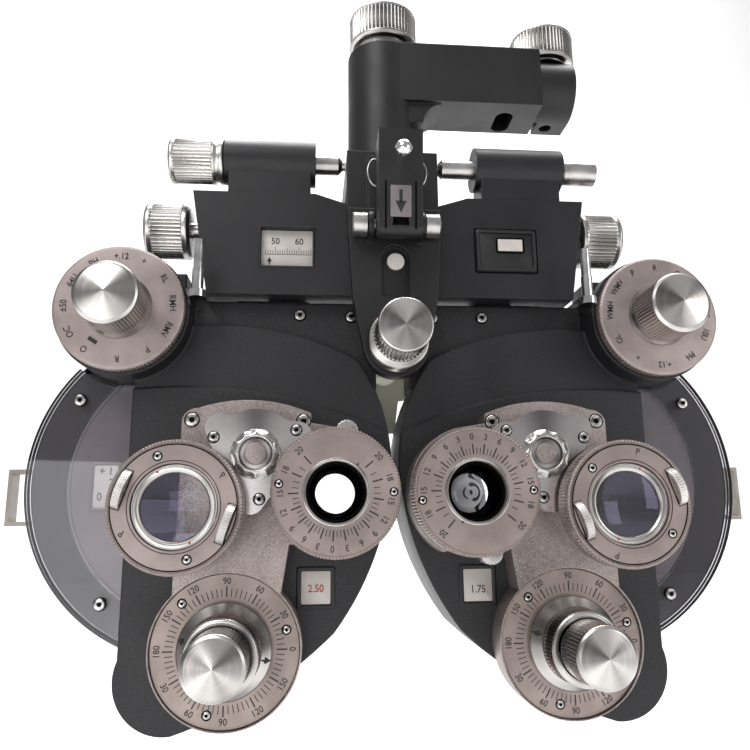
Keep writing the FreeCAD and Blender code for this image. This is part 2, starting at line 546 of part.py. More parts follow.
def makeRearShell():
    # Rear casting with the axle of the large discs and the patient's eye tube.
    body = plate("rearPlate", lowerEdge + browEdge, "castBack", "rearBack")
    disc = rodY("rearDisc", "coverRadius", "castBack", "rearBack", "discX", "discZ")
    tube = rodY("eyeTube", "eyeTube", "rearBack - 1", "eyeTubeEnd", "sightX", "sightZ")
    axle = rodY("discAxle", "6", "41.6", "rearBack", "discX", "discZ")
    room = rodY("auxRoom", "65.6", "castBack", "castBack + 5", "discX", "discZ")
    sight = rodY("sightRear", "sightRadius", "castBack", "eyeTubeEnd", "sightX", "sightZ")
    finish("right_rear_shell", fuse("rearWithAxle", cut("rearBored", fuse("rearCasting", body, disc, tube),
                                                        room, sight), axle))


def makeClearCover():
    # Clear tray over the temple part of the sphere wheel.
    side = block("coverSide", ("edgeX + 0.1", "discX + 75"), ("coverFront", "shelfFront"), ("-78", "40"))
    shell = common("coverBlank", rodY("coverDisc", "coverRadius", "coverFront", "shelfFront",
                                      "discX", "discZ"),
                   side)
    inner = common("coverRoom", rodY("coverRoomDisc", "coverRadius - 1.8", "coverFront + coverWall",
                                     "shelfFront", "discX", "discZ"),
                   block("coverRoomSide", ("edgeX + 1.6", "discX + 75"),
                         ("coverFront + coverWall", "shelfFront"),
                         ("-78", "40")))
    drumGap = rodY("coverDrumGap", "auxDrum + 2", "coverFront", "shelfFront", "auxX", "auxZ")
    finish("right_clear_cover", cut("coverCut", shell, inner, drumGap))


def makeFacePlate():
    # Sand-textured plate that carries the turret and the cylinder dial.
    blank = plate("faceBlank", [
        ("83.7", "-50", 0), ("82.9", "14.3", "6"), ("77", "18.6", "59.4"), ("34.1", "16.8", 0),
        ("33.8", "12.9", 0), ("22", "11", "26"), ("16", "-36", 0), ("41.8", "-32.5", 0),
        ("44.6", "-50", "27.5"), ("64.2", "-96.9", "27.5")], "faceFront", "bulgeFront")
    seat = rodY("cylSeat", "cylDial + 0.3", "faceFront", "cylDialBack", "cylX", "cylZ")
    sight = rodY("sightFace", "prismOpening", "faceFront", "bulgeFront", "sightX", "sightZ")
    hub = rodY("hubFaceBore", "hubShaft + runGap", "faceFront", "bulgeFront", "hubX", "0")
    sleeve = rodY("cylFaceBore", "6 + runGap", "cylDialBack", "bulgeFront", "cylX", "cylZ")
    finish("right_face_plate", cut("faceCut", blank, seat, sight, hub, sleeve))


def makeCylinderControls():
    dial = rodY("cylDialPlate", "cylDial", "cylDialFront", "cylDialBack", "cylX", "cylZ")
    bore = rodY("cylDialBore", "6 + runGap", "cylDialFront", "cylDialBack", "cylX", "cylZ")
    finish("right_cyl_dial", cut("cylDialBored", dial, bore))
    flange = knobY("axisFlange", "cylFlange", "10", "cylDialFront - 0.4", "cylX", "cylZ", "0.9")
    taper = taperY("axisTaper", "cylRing", "cylFlange - 1.2", "7", "10", "cylX", "cylZ")
    ring = knobY("axisRing", "cylRing", "-3", "7", "cylX", "cylZ", "0.6")
    sleeve = rodY("axisSleeve", "6", "cylDialFront - 0.4", "27", "cylX", "cylZ")
    through = rodY("axisBore", "auxShaft + runGap", "-3", "27", "cylX", "cylZ")
    finish("right_cyl_axis_knob", cut("axisKnob", fuse("axisBlank", flange, taper, ring, sleeve), through))
    grip = knobY("powerGrip", "powerKnob", "powerFace", "-3.4", "cylX", "cylZ", "0.6")
    shaft = rodY("powerShaft", "auxShaft", "-3.4", "30", "cylX", "cylZ")
    finish("right_cyl_power_knob", fuse("powerKnobTurned", grip, shaft))
    finish("right_cylinder_disc", lensDisc("cylinderDisc", "cylDiscX", "cylDiscZ", "31", "34",
                                            "cylDiscRadius",
                                           "auxShaft + runGap", "8.5", "8"))


def makeSphereDiscs():
    finish("right_sphere_wheel", lensDisc("sphereWheel", "discX", "discZ", "42", "48.5", "wheelRadius",
                                          "6 + runGap", "sightRadius", "12"))
    finish("right_aux_lens_disc", lensDisc("auxLensDisc", "discX", "discZ", "50.9", "53.9", "64.6",
                                           "6 + runGap", "sightRadius", "12"))


def makeAuxDial():
    dial = knobY("auxDialDisc", "auxDial", "auxDialFront", "auxDialFront + 5.2", "auxX", "auxZ", "0.5")
    grip = knobY("auxGrip", "auxKnob", "auxFace", "auxDialFront - 1.4", "auxX", "auxZ", "0.6")
    foot = taperY("auxFoot", "auxKnob - 0.6", "auxKnob + 1", "auxDialFront - 1.4", "auxDialFront",
                  "auxX", "auxZ")
    shaft = rodY("auxShaftRod", "auxShaft", "auxDialFront + 5.2", "34", "auxX", "auxZ")
    finish("right_aux_dial", fuse("auxTurned", dial, grip, foot, shaft))


# ---------------------------------------------------------------- lens turret

def ringCentre(angle):
    # Centre of a ring: the turret's reach from the hub at an angle from the x axis.
    return "hubX + armReach * cos(%s)" % angle, "armReach * sin(%s)" % angle


def makeClampPlate():
    # Three-lobed plate, hollowed beside both rings, with the ribbed hub and its button.
    corners = []
    for lobe in range(3):
        middle = "(lobeAngle + %d)" % (120 * lobe)
        for turn in (-60, 60):
            x = "hubX + lobeReach * cos(%s) + lobeRadius * cos(%s + %d)" % (middle, middle, turn)
            z = "lobeReach * sin(%s) + lobeRadius * sin(%s + %d)" % (middle, middle, turn)
            corners.append((x, z, "lobeRadius" if turn == -60 else 0))
    plateBody = plate("lobePlate", corners, "clampFront", "clampBack")
    crown = common("crown", rodY("crownDisc", "16.6", "clampFront", "clampBack", "hubX", "0"),
                   block("crownSide", ("hubX - 17", "hubX + 17"), ("clampFront", "clampBack"), ("4", "17")))
    prismX, prismZ = ringCentre("prismAngle")
    jccX, jccZ = ringCentre("jccAngle")
    hollows = [rodY("prismHollow", "prismTube + 0.7", "clampFront", "clampBack", prismX, prismZ),
               rodY("jccHollow", "jccTube + 0.5", "clampFront", "clampBack", jccX, jccZ)]
    ribs = knobY("hubRibs", "9.1", "0.5", "clampFront + 0.5", "hubX", "0", "0.3")
    button = knobY("hubButton", "4", "0", "clampFront", "hubX", "0", "0.3")
    shaft = rodY("turretShaft", "hubShaft", "clampBack - 0.5", "28", "hubX", "0")
    finish("right_turret_plate", fuse("turretClamp", cut("lobePlateCut", fuse("lobeBlank", plateBody, crown),
                                                         *hollows), ribs, button, shaft))


def makeRingHolder(name, angle, tube, bore, armStart, armEnd):
    # Bearing ring on an arm: the ring runs on a spigot, and a tube behind it joins the arm.
    x, z = ringCentre(angle)
    ring = rodY(name + "Ring", "holderRadius", "holderFront", "holderBack", x, z)
    back = rodY(name + "Tube", tube, "holderBack", "9", x, z)
    collar = rodY(name + "Collar", tube, armStart, armEnd, x, z)
    hubDisc = rodY(name + "Hub", "13.5", armStart, armEnd, "hubX", "0")
    arm = block(name + "Arm", ("8", "armReach - 5"), (armStart, armEnd), ("-8", "8"))
    arm.Placement.Rotation = FreeCAD.Rotation(Vector(0, 1, 0), -number(angle))
    place(arm, "hubX + 8 * cos(%s) + 8 * sin(%s)" % (angle, angle), armStart,
          "8 * sin(%s) - 8 * cos(%s)" % (angle, angle))
    blank = fuse(name + "Blank", ring, back, collar, hubDisc, arm)
    opening = rodY(name + "Bore", "%s + runGap" % bore, "holderFront", "12.5", x, z)
    shaft = rodY(name + "ShaftBore", "hubShaft", armStart, armEnd, "hubX", "0")
    return cut(name + "Cut", blank, opening, shaft)


def makePrism(side, pinionAngle):
    # Rotary prism: the dial cell turns in its holder, and its pinion turns the lens ring inside.
    tag = side + "Prism"
    x, z = ringCentre("prismAngle")
    holder = makeRingHolder(tag + "Holder", "prismAngle", "prismTube", "prismSpigot", "6", "9")
    face = rodY(tag + "Face", "dialRadius", "dialFront", "ringFront", x, z)
    ring = rodY(tag + "Knurl", "ringRadius", "ringFront", "ringBack", x, z)
    spigot = rodY(tag + "Spigot", "prismSpigot", "ringBack", "7", x, z)
    pinX = "%s + pinionReach * cos(%s)" % (x, pinionAngle)
    pinZ = "%s + pinionReach * sin(%s)" % (z, pinionAngle)
    pocket = rodY(tag + "Pocket", "pinionRadius + 0.3", "ringFront", "ringBack - 0.4", pinX, pinZ)
    opening = rodY(tag + "Opening", "prismOpening", "dialFront", "ringFront + 1", x, z)
    room = rodY(tag + "Room", "12 + runGap", "ringFront + 1", "7", x, z)
    pin = rodY(tag + "PinionPin", "1", "ringFront - 0.2", "ringBack - 0.2", pinX, pinZ)
    cell = fuse(tag + "Cell", cut(tag + "CellCut", fuse(tag + "CellBlank", face, ring, spigot), pocket,
                                  opening, room), pin)
    tube = rodY(tag + "LensTube", "12", "ringFront + 1.2", "6.6", x, z)
    lensBore = rodY(tag + "LensBore", "sightRadius", "ringFront + 1.2", "6.6", x, z)
    pinion = rodY(tag + "PinionWheel", "pinionRadius", "ringFront + 0.3", "ringBack - 0.7", pinX, pinZ)
    pinionBore = rodY(tag + "PinionBore", "1 + runGap", "ringFront + 0.3", "ringBack - 0.7", pinX, pinZ)
    return {"prism_holder": holder, "prism_dial": cell,
            "prism_lens_ring": cut(tag + "LensRing", tube, lensBore),
            "prism_pinion": cut(tag + "Pinion", pinion, pinionBore)}


def alongTilt(item, x, z, start):
    # Turns a rod that was drawn along x to the flip axis, and puts its start on that axis.
    item.Placement.Rotation = FreeCAD.Rotation(Vector(0, 1, 0), 90 - number("flipTilt"))
    return place(item, "%s + (%s) * cos(flipTilt)" % (x, start), "flipY",
                 "%s + (%s) * sin(flipTilt)" % (z, start))


def makeCrossCylinder():
    # Flip cylinder: the cell turns in its holder, and the lens ring flips on two thumb wheels.
    x, z = ringCentre("jccAngle")
    finish("right_jcc_holder", makeRingHolder("jccHolder", "jccAngle", "jccTube", "jccSpigot", "9", "12.3"))
    face = rodY("jccFace", "dialRadius", "dialFront - 0.5", "ringFront", x, z)
    ring = rodY("jccKnurl", "ringRadius", "ringFront", "ringBack", x, z)
    spigot = rodY("jccSpigotRod", "jccSpigot", "ringBack", "5", x, z)
    opening = rodY("jccOpeningRod", "jccOpening", "dialFront - 0.5", "5", x, z)
    slots = []
    wheels = []
    for index, reach in enumerate(("thumbReach", "-thumbReach")):
        slots.append(alongTilt(rodX("thumbSlot%d" % index, "thumbWheel + 0.3", "0", "3.4"), x, z,
                               "%s - 1.7" % reach))
        wheels.append(alongTilt(rodX("thumbWheel%d" % index, "thumbWheel", "0", "2.6"), x, z,
                                "%s - 1.3" % reach))
    shaftRoom = alongTilt(rodX("flipShaftRoom", "1 + runGap", "-thumbReach", "thumbReach"),
                          x, z, "-thumbReach")
    finish("right_jcc_cell", cut("jccCellCut", fuse("jccCellBlank", face, ring, spigot), opening, shaftRoom,
                                 *slots))
    rim = rodY("flipRim", "flipOuter", "flipY - 1.5", "flipY + 1.5", x, z)
    shaft = alongTilt(rodX("flipShaft", "1", "-thumbReach", "thumbReach"), x, z, "-thumbReach")
    lensOpening = rodY("flipOpening", "flipInner", "flipY - 1.5", "flipY + 1.5", x, z)
    finish("right_jcc_flip_ring", cut("flipRingCut", fuse("flipBlank", rim, shaft, *wheels), lensOpening))


# ---------------------------------------------------------------- small parts of one head

def makeSmallParts():
    # Lever that toes the head in for near work: a bar under the housing and an upright chrome pin.
    bar = block("leverBar", ("75.5", "82.5"), ("11.6", "plateFront"), ("headTop + 1", "headTop + 4"))
    eye = rodZ("leverEye", "3.5", "headTop + 1", "headTop + 4", "79", "11.6")
    foot = rodZ("leverFoot", "2.3", "headTop + 4", "74", "79", "11.6")
    tip = rodZ("leverTip", "2", "74", "86", "79", "11.6")
    finish("right_vergence_lever", fuse("vergenceLever", bar, eye, foot, tip))
    # Sight for the distance from cornea to lens: a short square tube at the temple.
    outer = block("sightOuter", ("146.2", "160"), ("52", "60"), ("-25", "-1.7"))
    inner = block("sightInner", ("148", "158.4"), ("52", "60"), ("-23.2", "-3.5"))
    step = rodY("sightSeat", "coverRadius + 0.1", "52", "60", "discX", "discZ")
    finish("right_temple_sight", cut("templeSight", outer, inner, step))
    screws = [("39.2", "61.6", "30.6", "plateFront"), ("17.5", "61.2", "30.6", "plateFront"),
              ("127.8", "25.1", "coverFront - 1.6", "coverFront"),
              ("114.9", "-54.9", "coverFront - 1.6", "coverFront"),
              ("79.1", "14", "faceFront - 0.3", "faceFront"),
              ("36.9", "13.6", "faceFront - 0.3", "faceFront")]
    heads = []
    for index, (x, z, start, end) in enumerate(screws):
        head = rodY("screwHead%d" % index, "2.3", start, end, x, z)
        socket = rodY("screwSocket%d" % index, "1.1", start, "%s + 0.9" % start, x, z)
        heads.append(cut("screw%d" % index, head, socket))
    finish("right_head_screws", *heads)


makeMountArm()
makeArmKnobs()
makeYokeBracket()
makeRodHolder()
makeForeheadRest()
makeHousing()
makeLevelParts()
makePupilDrive()
for makePart in (makeCarriage, makeFrontShell, makeRearShell, makeClearCover, makeFacePlate,
                 makeCylinderControls, makeSphereDiscs, makeAuxDial, makeClampPlate, makeCrossCylinder,
                 makeSmallParts):
    makePart()

# The left head is the right one mirrored, apart from its rotary prism, which is turned the other way.
for name in [name for name in nodes if name.startswith("right_")]:
    twin = name.replace("right_", "left_")
    mirrored = doc.addObject("Part::Mirroring", twin)
    mirrored.Source = nodes[name]
    mirrored.Normal = Vector(1, 0, 0)
    bind(mirrored, Base_x="-mouthX")
    mirrored.Label = twin
    nodes[twin] = mirrored
for name, piece in makePrism("right", "-78").items():
    finish("right_" + name, piece)
for name, piece in makePrism("left", "100").items():
    finish("turned_" + name, piece)
    mirrored = doc.addObject("Part::Mirroring", "left_" + name)
    mirrored.Source = nodes.pop("turned_" + name)
    mirrored.Normal = Vector(1, 0, 0)
    bind(mirrored, Base_x="-mouthX")
    mirrored.Label = "left_" + name
    nodes["left_" + name] = mirrored

doc.recompute()
faults = [item.Label for item in doc.Objects if {"Invalid", "Error"} & set(item.State)]
faults += [name for name, node in nodes.items() if node.Shape.isNull() or not node.Shape.isValid()]
if faults:
    raise RuntimeError("these objects failed: " + ", ".join(faults))
os.makedirs("parts", exist_ok=True)
for name, node in sorted(nodes.items()):
    node.Shape.exportStep("parts/%s.step" % name)
    box = node.Shape.BoundBox
    print("%-24s %d solids %9.1f mm3  x %.1f..%.1f  y %.1f..%.1f  z %.1f..%.1f" % (
        name, len(node.Shape.Solids), node.Shape.Volume, box.XMin, box.XMax, box.YMin, box.YMax,
        box.ZMin, box.ZMax))
print(len(nodes), "nodes")
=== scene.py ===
import math

import bmesh
import bpy
import numpy as np
from mathutils import Matrix, Vector


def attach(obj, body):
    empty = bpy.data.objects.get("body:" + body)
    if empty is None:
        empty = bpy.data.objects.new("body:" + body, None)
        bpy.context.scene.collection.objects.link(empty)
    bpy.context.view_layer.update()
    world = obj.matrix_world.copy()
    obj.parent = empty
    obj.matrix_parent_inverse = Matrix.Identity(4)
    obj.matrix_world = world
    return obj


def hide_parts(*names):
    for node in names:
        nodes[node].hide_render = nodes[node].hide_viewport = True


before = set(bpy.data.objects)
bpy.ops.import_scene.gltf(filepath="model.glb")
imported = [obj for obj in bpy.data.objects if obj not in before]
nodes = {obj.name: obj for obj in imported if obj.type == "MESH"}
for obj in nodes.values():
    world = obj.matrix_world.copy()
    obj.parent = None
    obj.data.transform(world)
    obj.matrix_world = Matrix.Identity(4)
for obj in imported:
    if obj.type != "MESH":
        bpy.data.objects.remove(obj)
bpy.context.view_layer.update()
print("frame loaded:", len(nodes), "nodes")

# Drawing datum in the row frame, in mm: x on the plane of symmetry,
# y on the turret buttons, z at the turret hubs
datum = np.array([-92.0, -53.0, -184.0])
sides = {"left": -1.0, "right": 1.0}  # as the examiner sees the instrument


def toRow(points):
    # drawing millimetres to row metres: (p + datum) / 1000
    return (np.asarray(points, float) + datum) / 1000


def hexLinear(code):
    # sRGB to linear: c / 12.92 up to 0.04045, ((c + 0.055) / 1.055) ^ 2.4 above
    c = np.array([int(code[i:i + 2], 16) for i in (1, 3, 5)]) / 255
    return tuple(np.where(c <= 0.04045, c / 12.92, ((c + 0.055) / 1.055) ** 2.4)) + (1.0,)


def addNode(tree, kind, settings=None, links=None):
    # a node with its settings (inputs by name or number, else properties) and what feeds it
    node = tree.nodes.new(kind)
    for key, value in (settings or {}).items():
        if isinstance(key, int) or key in node.inputs.keys():
            node.inputs[key].default_value = value
        else:
            setattr(node, key, value)
    for key, socketShade in (links or {}).items():
        tree.links.new(socketShade, node.inputs[key])
    return node


def newFinish(name, colour, **values):
    # a material with its shader's constant values set on the sockets
    finish = bpy.data.materials.new(name)
    finish.use_nodes = True
    tree = finish.node_tree
    shader = tree.nodes["Principled BSDF"]
    shader.inputs["Base Color"].default_value = hexLinear(colour)
    for key, value in values.items():
        shader.inputs[key.replace("_", " ")].default_value = value
    return finish, tree, shader


def objectPlace(tree, centre=(0, 0, 0)):
    # object coordinates measured from a drawing point
    coords = addNode(tree, "ShaderNodeTexCoord")
    return addNode(tree, "ShaderNodeVectorMath", {"operation": "SUBTRACT", 1: tuple(toRow(centre))},
                   {0: coords.outputs["Object"]}).outputs[0]


def between(tree, value, dark, light, low=0.35, high=0.65):
    # two colours mixed by a value between low and high
    ramp = addNode(tree, "ShaderNodeValToRGB", None, {"Fac": value})
    ramp.color_ramp.elements[0].position = low
    ramp.color_ramp.elements[0].color = hexLinear(dark)
    ramp.color_ramp.elements[1].position = high
    ramp.color_ramp.elements[1].color = hexLinear(light)
    return ramp.outputs["Color"]


def bumped(tree, shader, height, depth, strength=1.0, edge=0.0):
    # relief of so many mm; a cast edge is also shaded as if rounded to edge mm
    links = {"Height": height}
    if edge:
        links["Normal"] = addNode(tree, "ShaderNodeBevel", {"samples": 6,
            "Radius": edge / 1000}).outputs["Normal"]
    bump = addNode(tree, "ShaderNodeBump", {"Distance": depth / 1000, "Strength": strength}, links)
    tree.links.new(bump.outputs["Normal"], shader.inputs["Normal"])


def grain(tree, place, sizeMm, detail=2.0, roughness=0.5):
    # noise whose features are about sizeMm across
    return addNode(tree, "ShaderNodeTexNoise", {"Scale": 1000 / sizeMm, "Detail": detail,
        "Roughness": roughness},
                   {"Vector": place}).outputs["Fac"]


def castingPaint(name, dark, light, roughness, grainMm=0.7):
    # Satin paint sprayed on a sand casting: faint mottling, a fine orange peel and worn, shinier patches
    finish, tree, shader = newFinish(name, dark, Roughness=roughness, Specular_IOR_Level=0.5)
    place = objectPlace(tree)
    mottle = grain(tree, place, 22, 4)
    fine = grain(tree, place, grainMm, 3, 0.6)
    mixed = addNode(tree, "ShaderNodeMath", {"operation": "ADD"}, {0: mottle, 1: fine})
    half = addNode(tree, "ShaderNodeMath", {"operation": "MULTIPLY", 1: 0.5}, {0: mixed.outputs[0]})
    tree.links.new(between(tree, half.outputs[0], dark, light, 0.3, 0.72), shader.inputs["Base Color"])
    wear = addNode(tree, "ShaderNodeMapRange", {"From Min": 0.3, "From Max": 0.7,
        "To Min": roughness - 0.07,
                                                "To Max": roughness + 0.09}, {"Value": mottle})
    tree.links.new(wear.outputs["Result"], shader.inputs["Roughness"])
    bumped(tree, shader, fine, 0.05, 0.35, 0.9)
    return finish


def sprayedPowder(name, dark, light, speck):
    # Fine-textured charcoal paint: pale specks a third of a millimetre across, drawn 0.5 mm so that they show
    finish, tree, shader = newFinish(name, dark, Roughness=0.5)
    place = objectPlace(tree)
    mottle = grain(tree, place, 30, 3)
    specks = grain(tree, place, 0.5, 1, 0.4)
    base = between(tree, mottle, dark, light, 0.3, 0.7)
    mask = addNode(tree, "ShaderNodeMapRange", {"From Min": 0.6, "From Max": 0.75, "To Min": 0.0,
        "To Max": 0.5},
                   {"Value": specks})
    mix = addNode(tree, "ShaderNodeMix", {"data_type": "RGBA", 7: hexLinear(speck)},
                  {0: mask.outputs["Result"], 6: base})
    tree.links.new(mix.outputs[2], shader.inputs["Base Color"])
    wear = addNode(tree, "ShaderNodeMapRange", {"From Min": 0.3, "From Max": 0.7, "To Min": 0.4,
        "To Max": 0.56},
                   {"Value": mottle})
    tree.links.new(wear.outputs["Result"], shader.inputs["Roughness"])
    bumped(tree, shader, specks, 0.04, 0.4, 1.4)
    return finish


def turnedSteel(name, dark, light, roughness=0.24, spun=0.75):
    # Nickel-plated steel off the lathe: fine rings around the axis, which smear highlights along the radius;
    # bright and dark sectors of painted highlight around the axis are added to its colour
    finish, tree, shader = newFinish(name, light, Metallic=1.0, Roughness=roughness, Anisotropic=spun)
    coords = addNode(tree, "ShaderNodeTexCoord")
    stretched = addNode(tree, "ShaderNodeVectorMath", {"operation": "MULTIPLY", 1: (2.0, 9000.0, 1.0)},
                        {0: coords.outputs["UV"]})
    rings = addNode(tree, "ShaderNodeTexNoise", {"Scale": 1.0, "Detail": 2.0},
        {"Vector": stretched.outputs[0]})
    around = addNode(tree, "ShaderNodeSeparateXYZ", None, {0: coords.outputs["UV"]}).outputs["X"]
    # painted highlight: bright and dark sectors around the axis are painted into the colour, standing for the
    # spun highlights
    paintedSheenSectors = [addNode(tree, "ShaderNodeMath", {"operation": "SINE"}, {0: addNode(
        tree, "ShaderNodeMath", {"operation": "MULTIPLY_ADD", 1: 2 * math.pi * n, 2: n * 0.7},
        {0: around}).outputs[0]}).outputs[0]
        for n in (2, 3, 7)]
    swing = addNode(tree, "ShaderNodeMath", {"operation": "ADD"}, {0: paintedSheenSectors[0], 1: paintedSheenSectors[1]})
    swing = addNode(tree, "ShaderNodeMath", {"operation": "MULTIPLY_ADD", 1: 0.45},
        {0: paintedSheenSectors[2], 2: swing.outputs[0]})
    faint = addNode(tree, "ShaderNodeMath", {"operation": "MULTIPLY_ADD", 1: 0.3, 2: 0.4},
        {0: rings.outputs["Fac"]})
    mixed = addNode(tree, "ShaderNodeMath", {"operation": "MULTIPLY_ADD", 1: 0.11},
        {0: swing.outputs[0], 2: faint.outputs[0]})
    tree.links.new(between(tree, mixed.outputs[0], dark, light, 0.3, 0.7), shader.inputs["Base Color"])
    tangent = addNode(tree, "ShaderNodeTangent", {"direction_type": "UV_MAP"})
    tree.links.new(tangent.outputs["Tangent"], shader.inputs["Tangent"])
    bumped(tree, shader, rings.outputs["Fac"], 0.004, 0.2)
    return finish


def plainSteel(name, dark, light, roughness=0.25, grainMm=0.3):
    # Machined and plated steel without a lathe's rings: faint smudges and a fine grain
    finish, tree, shader = newFinish(name, light, Metallic=1.0, Roughness=roughness)
    place = objectPlace(tree)
    smudge = grain(tree, place, 9, 4)
    fine = grain(tree, place, grainMm, 2)
    tree.links.new(between(tree, smudge, dark, light, 0.3, 0.7), shader.inputs["Base Color"])
    rough = addNode(tree, "ShaderNodeMapRange", {"From Min": 0.3, "From Max": 0.7,
        "To Min": roughness - 0.06,
                                                 "To Max": roughness + 0.1}, {"Value": smudge})
    tree.links.new(rough.outputs["Result"], shader.inputs["Roughness"])
    bumped(tree, shader, fine, 0.01, 0.2)
    return finish


def blastedSilver(name, dark, light):
    # Bead-blasted anodised aluminium: a bright, even sparkle;
    # grains of 0.2 mm are drawn at 0.4 mm so that they show
    finish, tree, shader = newFinish(name, light, Metallic=0.85, Roughness=0.48)
    place = objectPlace(tree)
    fine = grain(tree, place, 0.42, 2, 0.7)
    broad = grain(tree, place, 25, 3)
    both = addNode(tree, "ShaderNodeMath", {"operation": "MULTIPLY_ADD", 1: 0.35, 2: 0.0}, {0: broad})
    mixed = addNode(tree, "ShaderNodeMath", {"operation": "MULTIPLY_ADD", 1: 0.65},
        {0: fine, 2: both.outputs[0]})
    tree.links.new(between(tree, mixed.outputs[0], dark, light, 0.36, 0.62), shader.inputs["Base Color"])
    bumped(tree, shader, fine, 0.06, 0.45, 0.6)
    return finish


def satinDial(name, dark, light, centre, teeth=0, rimFrom=99.0):
    # Satin nickel dial plate: rings brushed around its own axis;
    # the rim of a dial that is gripped is finely fluted
    finish, tree, shader = newFinish(name, light, Metallic=0.55, Roughness=0.42)
    place = objectPlace(tree, centre)
    reach = addNode(tree, "ShaderNodeVectorMath", {"operation": "LENGTH"}, {0: addNode(
        tree, "ShaderNodeVectorMath", {"operation": "MULTIPLY", 1: (1, 0, 1)},
        {0: place}).outputs[0]}).outputs["Value"]
    brushed = addNode(tree, "ShaderNodeTexNoise", {"noise_dimensions": "1D", "Scale": 5000.0,
        "Detail": 1.0}, {"W": reach})
    cloud = grain(tree, place, 14, 3)
    half = addNode(tree, "ShaderNodeMath", {"operation": "MULTIPLY_ADD", 1: 0.3},
        {0: brushed.outputs["Fac"], 2: addNode(
        tree, "ShaderNodeMath", {"operation": "MULTIPLY", 1: 0.7}, {0: cloud}).outputs[0]})
    tree.links.new(between(tree, half.outputs[0], dark, light, 0.35, 0.62), shader.inputs["Base Color"])
    height = brushed.outputs["Fac"]
    depth = 0.01
    if teeth:
        parts = addNode(tree, "ShaderNodeSeparateXYZ", None, {0: place})
        angle = addNode(tree, "ShaderNodeMath", {"operation": "ARCTAN2"},
            {0: parts.outputs["Z"], 1: parts.outputs["X"]})
        turns = addNode(tree, "ShaderNodeMath", {"operation": "MULTIPLY", 1: float(teeth)},
            {0: angle.outputs[0]})
        wave = addNode(tree, "ShaderNodeMath", {"operation": "SINE"}, {0: turns.outputs[0]})
        onRim = addNode(tree, "ShaderNodeMath", {"operation": "GREATER_THAN", 1: rimFrom / 1000},
            {0: reach})
        height = addNode(tree, "ShaderNodeMath", {"operation": "MULTIPLY"},
                         {0: wave.outputs[0], 1: onRim.outputs[0]}).outputs[0]
        depth = 0.2
    bumped(tree, shader, height, depth, 0.8 if teeth else 0.3)
    return finish


def spunSteel(name, dark, light, centre, paintedSheenSectors, roughness=0.2):
    # Polished plate spun about an axis: its shine, soft bright and dark sectors around that axis, is painted
    # into the colour as a painted reflection
    finish, tree, shader = newFinish(name, light, Metallic=1.0, Roughness=roughness)
    place = objectPlace(tree, centre)
    parts = addNode(tree, "ShaderNodeSeparateXYZ", None, {0: place})
    angle = addNode(tree, "ShaderNodeMath", {"operation": "ARCTAN2"},
        {0: parts.outputs["Z"], 1: parts.outputs["X"]})
    # painted reflection: the sector count sets how many bright and dark sectors are painted around the axis
    turns = addNode(tree, "ShaderNodeMath", {"operation": "MULTIPLY", 1: float(paintedSheenSectors)},
        {0: angle.outputs[0]})
    wave = addNode(tree, "ShaderNodeMath", {"operation": "SINE"}, {0: turns.outputs[0]})
    smudge = addNode(tree, "ShaderNodeMath", {"operation": "MULTIPLY_ADD", 1: 0.4, 2: 0.3},
        {0: grain(tree, place, 20, 2)})
    swing = addNode(tree, "ShaderNodeMath", {"operation": "MULTIPLY_ADD", 1: 0.14},
        {0: wave.outputs[0], 2: smudge.outputs[0]})
    tree.links.new(between(tree, swing.outputs[0], dark, light, 0.3, 0.7), shader.inputs["Base Color"])
    reach = addNode(tree, "ShaderNodeVectorMath", {"operation": "LENGTH"}, {0: place})
    rings = addNode(tree, "ShaderNodeTexNoise", {"noise_dimensions": "1D", "Scale": 3500.0},
        {"W": reach.outputs["Value"]})
    bumped(tree, shader, rings.outputs["Fac"], 0.008, 0.25)
    return finish


def clearAcrylic(name):
    # Moulded acrylic, IOR 1.49: nearly colourless, faintly violet in its thickness,
    # a little duller where it is handled
    finish, tree, shader = newFinish(name, "#efedf2", Roughness=0.03, IOR=1.49, Transmission_Weight=1.0)
    place = objectPlace(tree)
    handling = grain(tree, place, 18, 2, 0.5)
    rough = addNode(tree, "ShaderNodeMapRange", {"From Min": 0.4, "From Max": 0.8, "To Min": 0.02,
        "To Max": 0.04},
                    {"Value": handling})
    tree.links.new(rough.outputs["Result"], shader.inputs["Roughness"])
    return finish


def coatedGlass(name, tint, coat):
    # Crown glass with a magnesium fluoride coat: clear through, with a violet bloom where it catches light
    finish, tree, shader = newFinish(name, tint, Roughness=0.01, IOR=1.52, Transmission_Weight=1.0,
                                     Specular_IOR_Level=0.55, Specular_Tint=hexLinear(coat))
    cloud = grain(tree, objectPlace(tree), 30, 1)
    tree.links.new(between(tree, cloud, tint, "#ffffff", 0.3, 0.7), shader.inputs["Base Color"])
    return finish


def mouldedPlastic(name, dark, light, roughness=0.4, grainMm=1.2):
    # Injection-moulded ABS: even colour with a slight cloudiness and a fine spark-eroded grain
    finish, tree, shader = newFinish(name, light, Roughness=roughness, IOR=1.53)
    place = objectPlace(tree)
    tree.links.new(between(tree, grain(tree, place, 16, 3), dark, light), shader.inputs["Base Color"])
    bumped(tree, shader, grain(tree, place, grainMm, 2), 0.02, 0.3)
    return finish


def inkFilled(name, dark, light):
    # Engraving filled with enamel: dense colour, slightly uneven where the fill has sunk
    finish, tree, shader = newFinish(name, dark, Roughness=0.6)
    tree.links.new(between(tree, grain(tree, objectPlace(tree), 0.6, 2), dark, light),
        shader.inputs["Base Color"])
    return finish


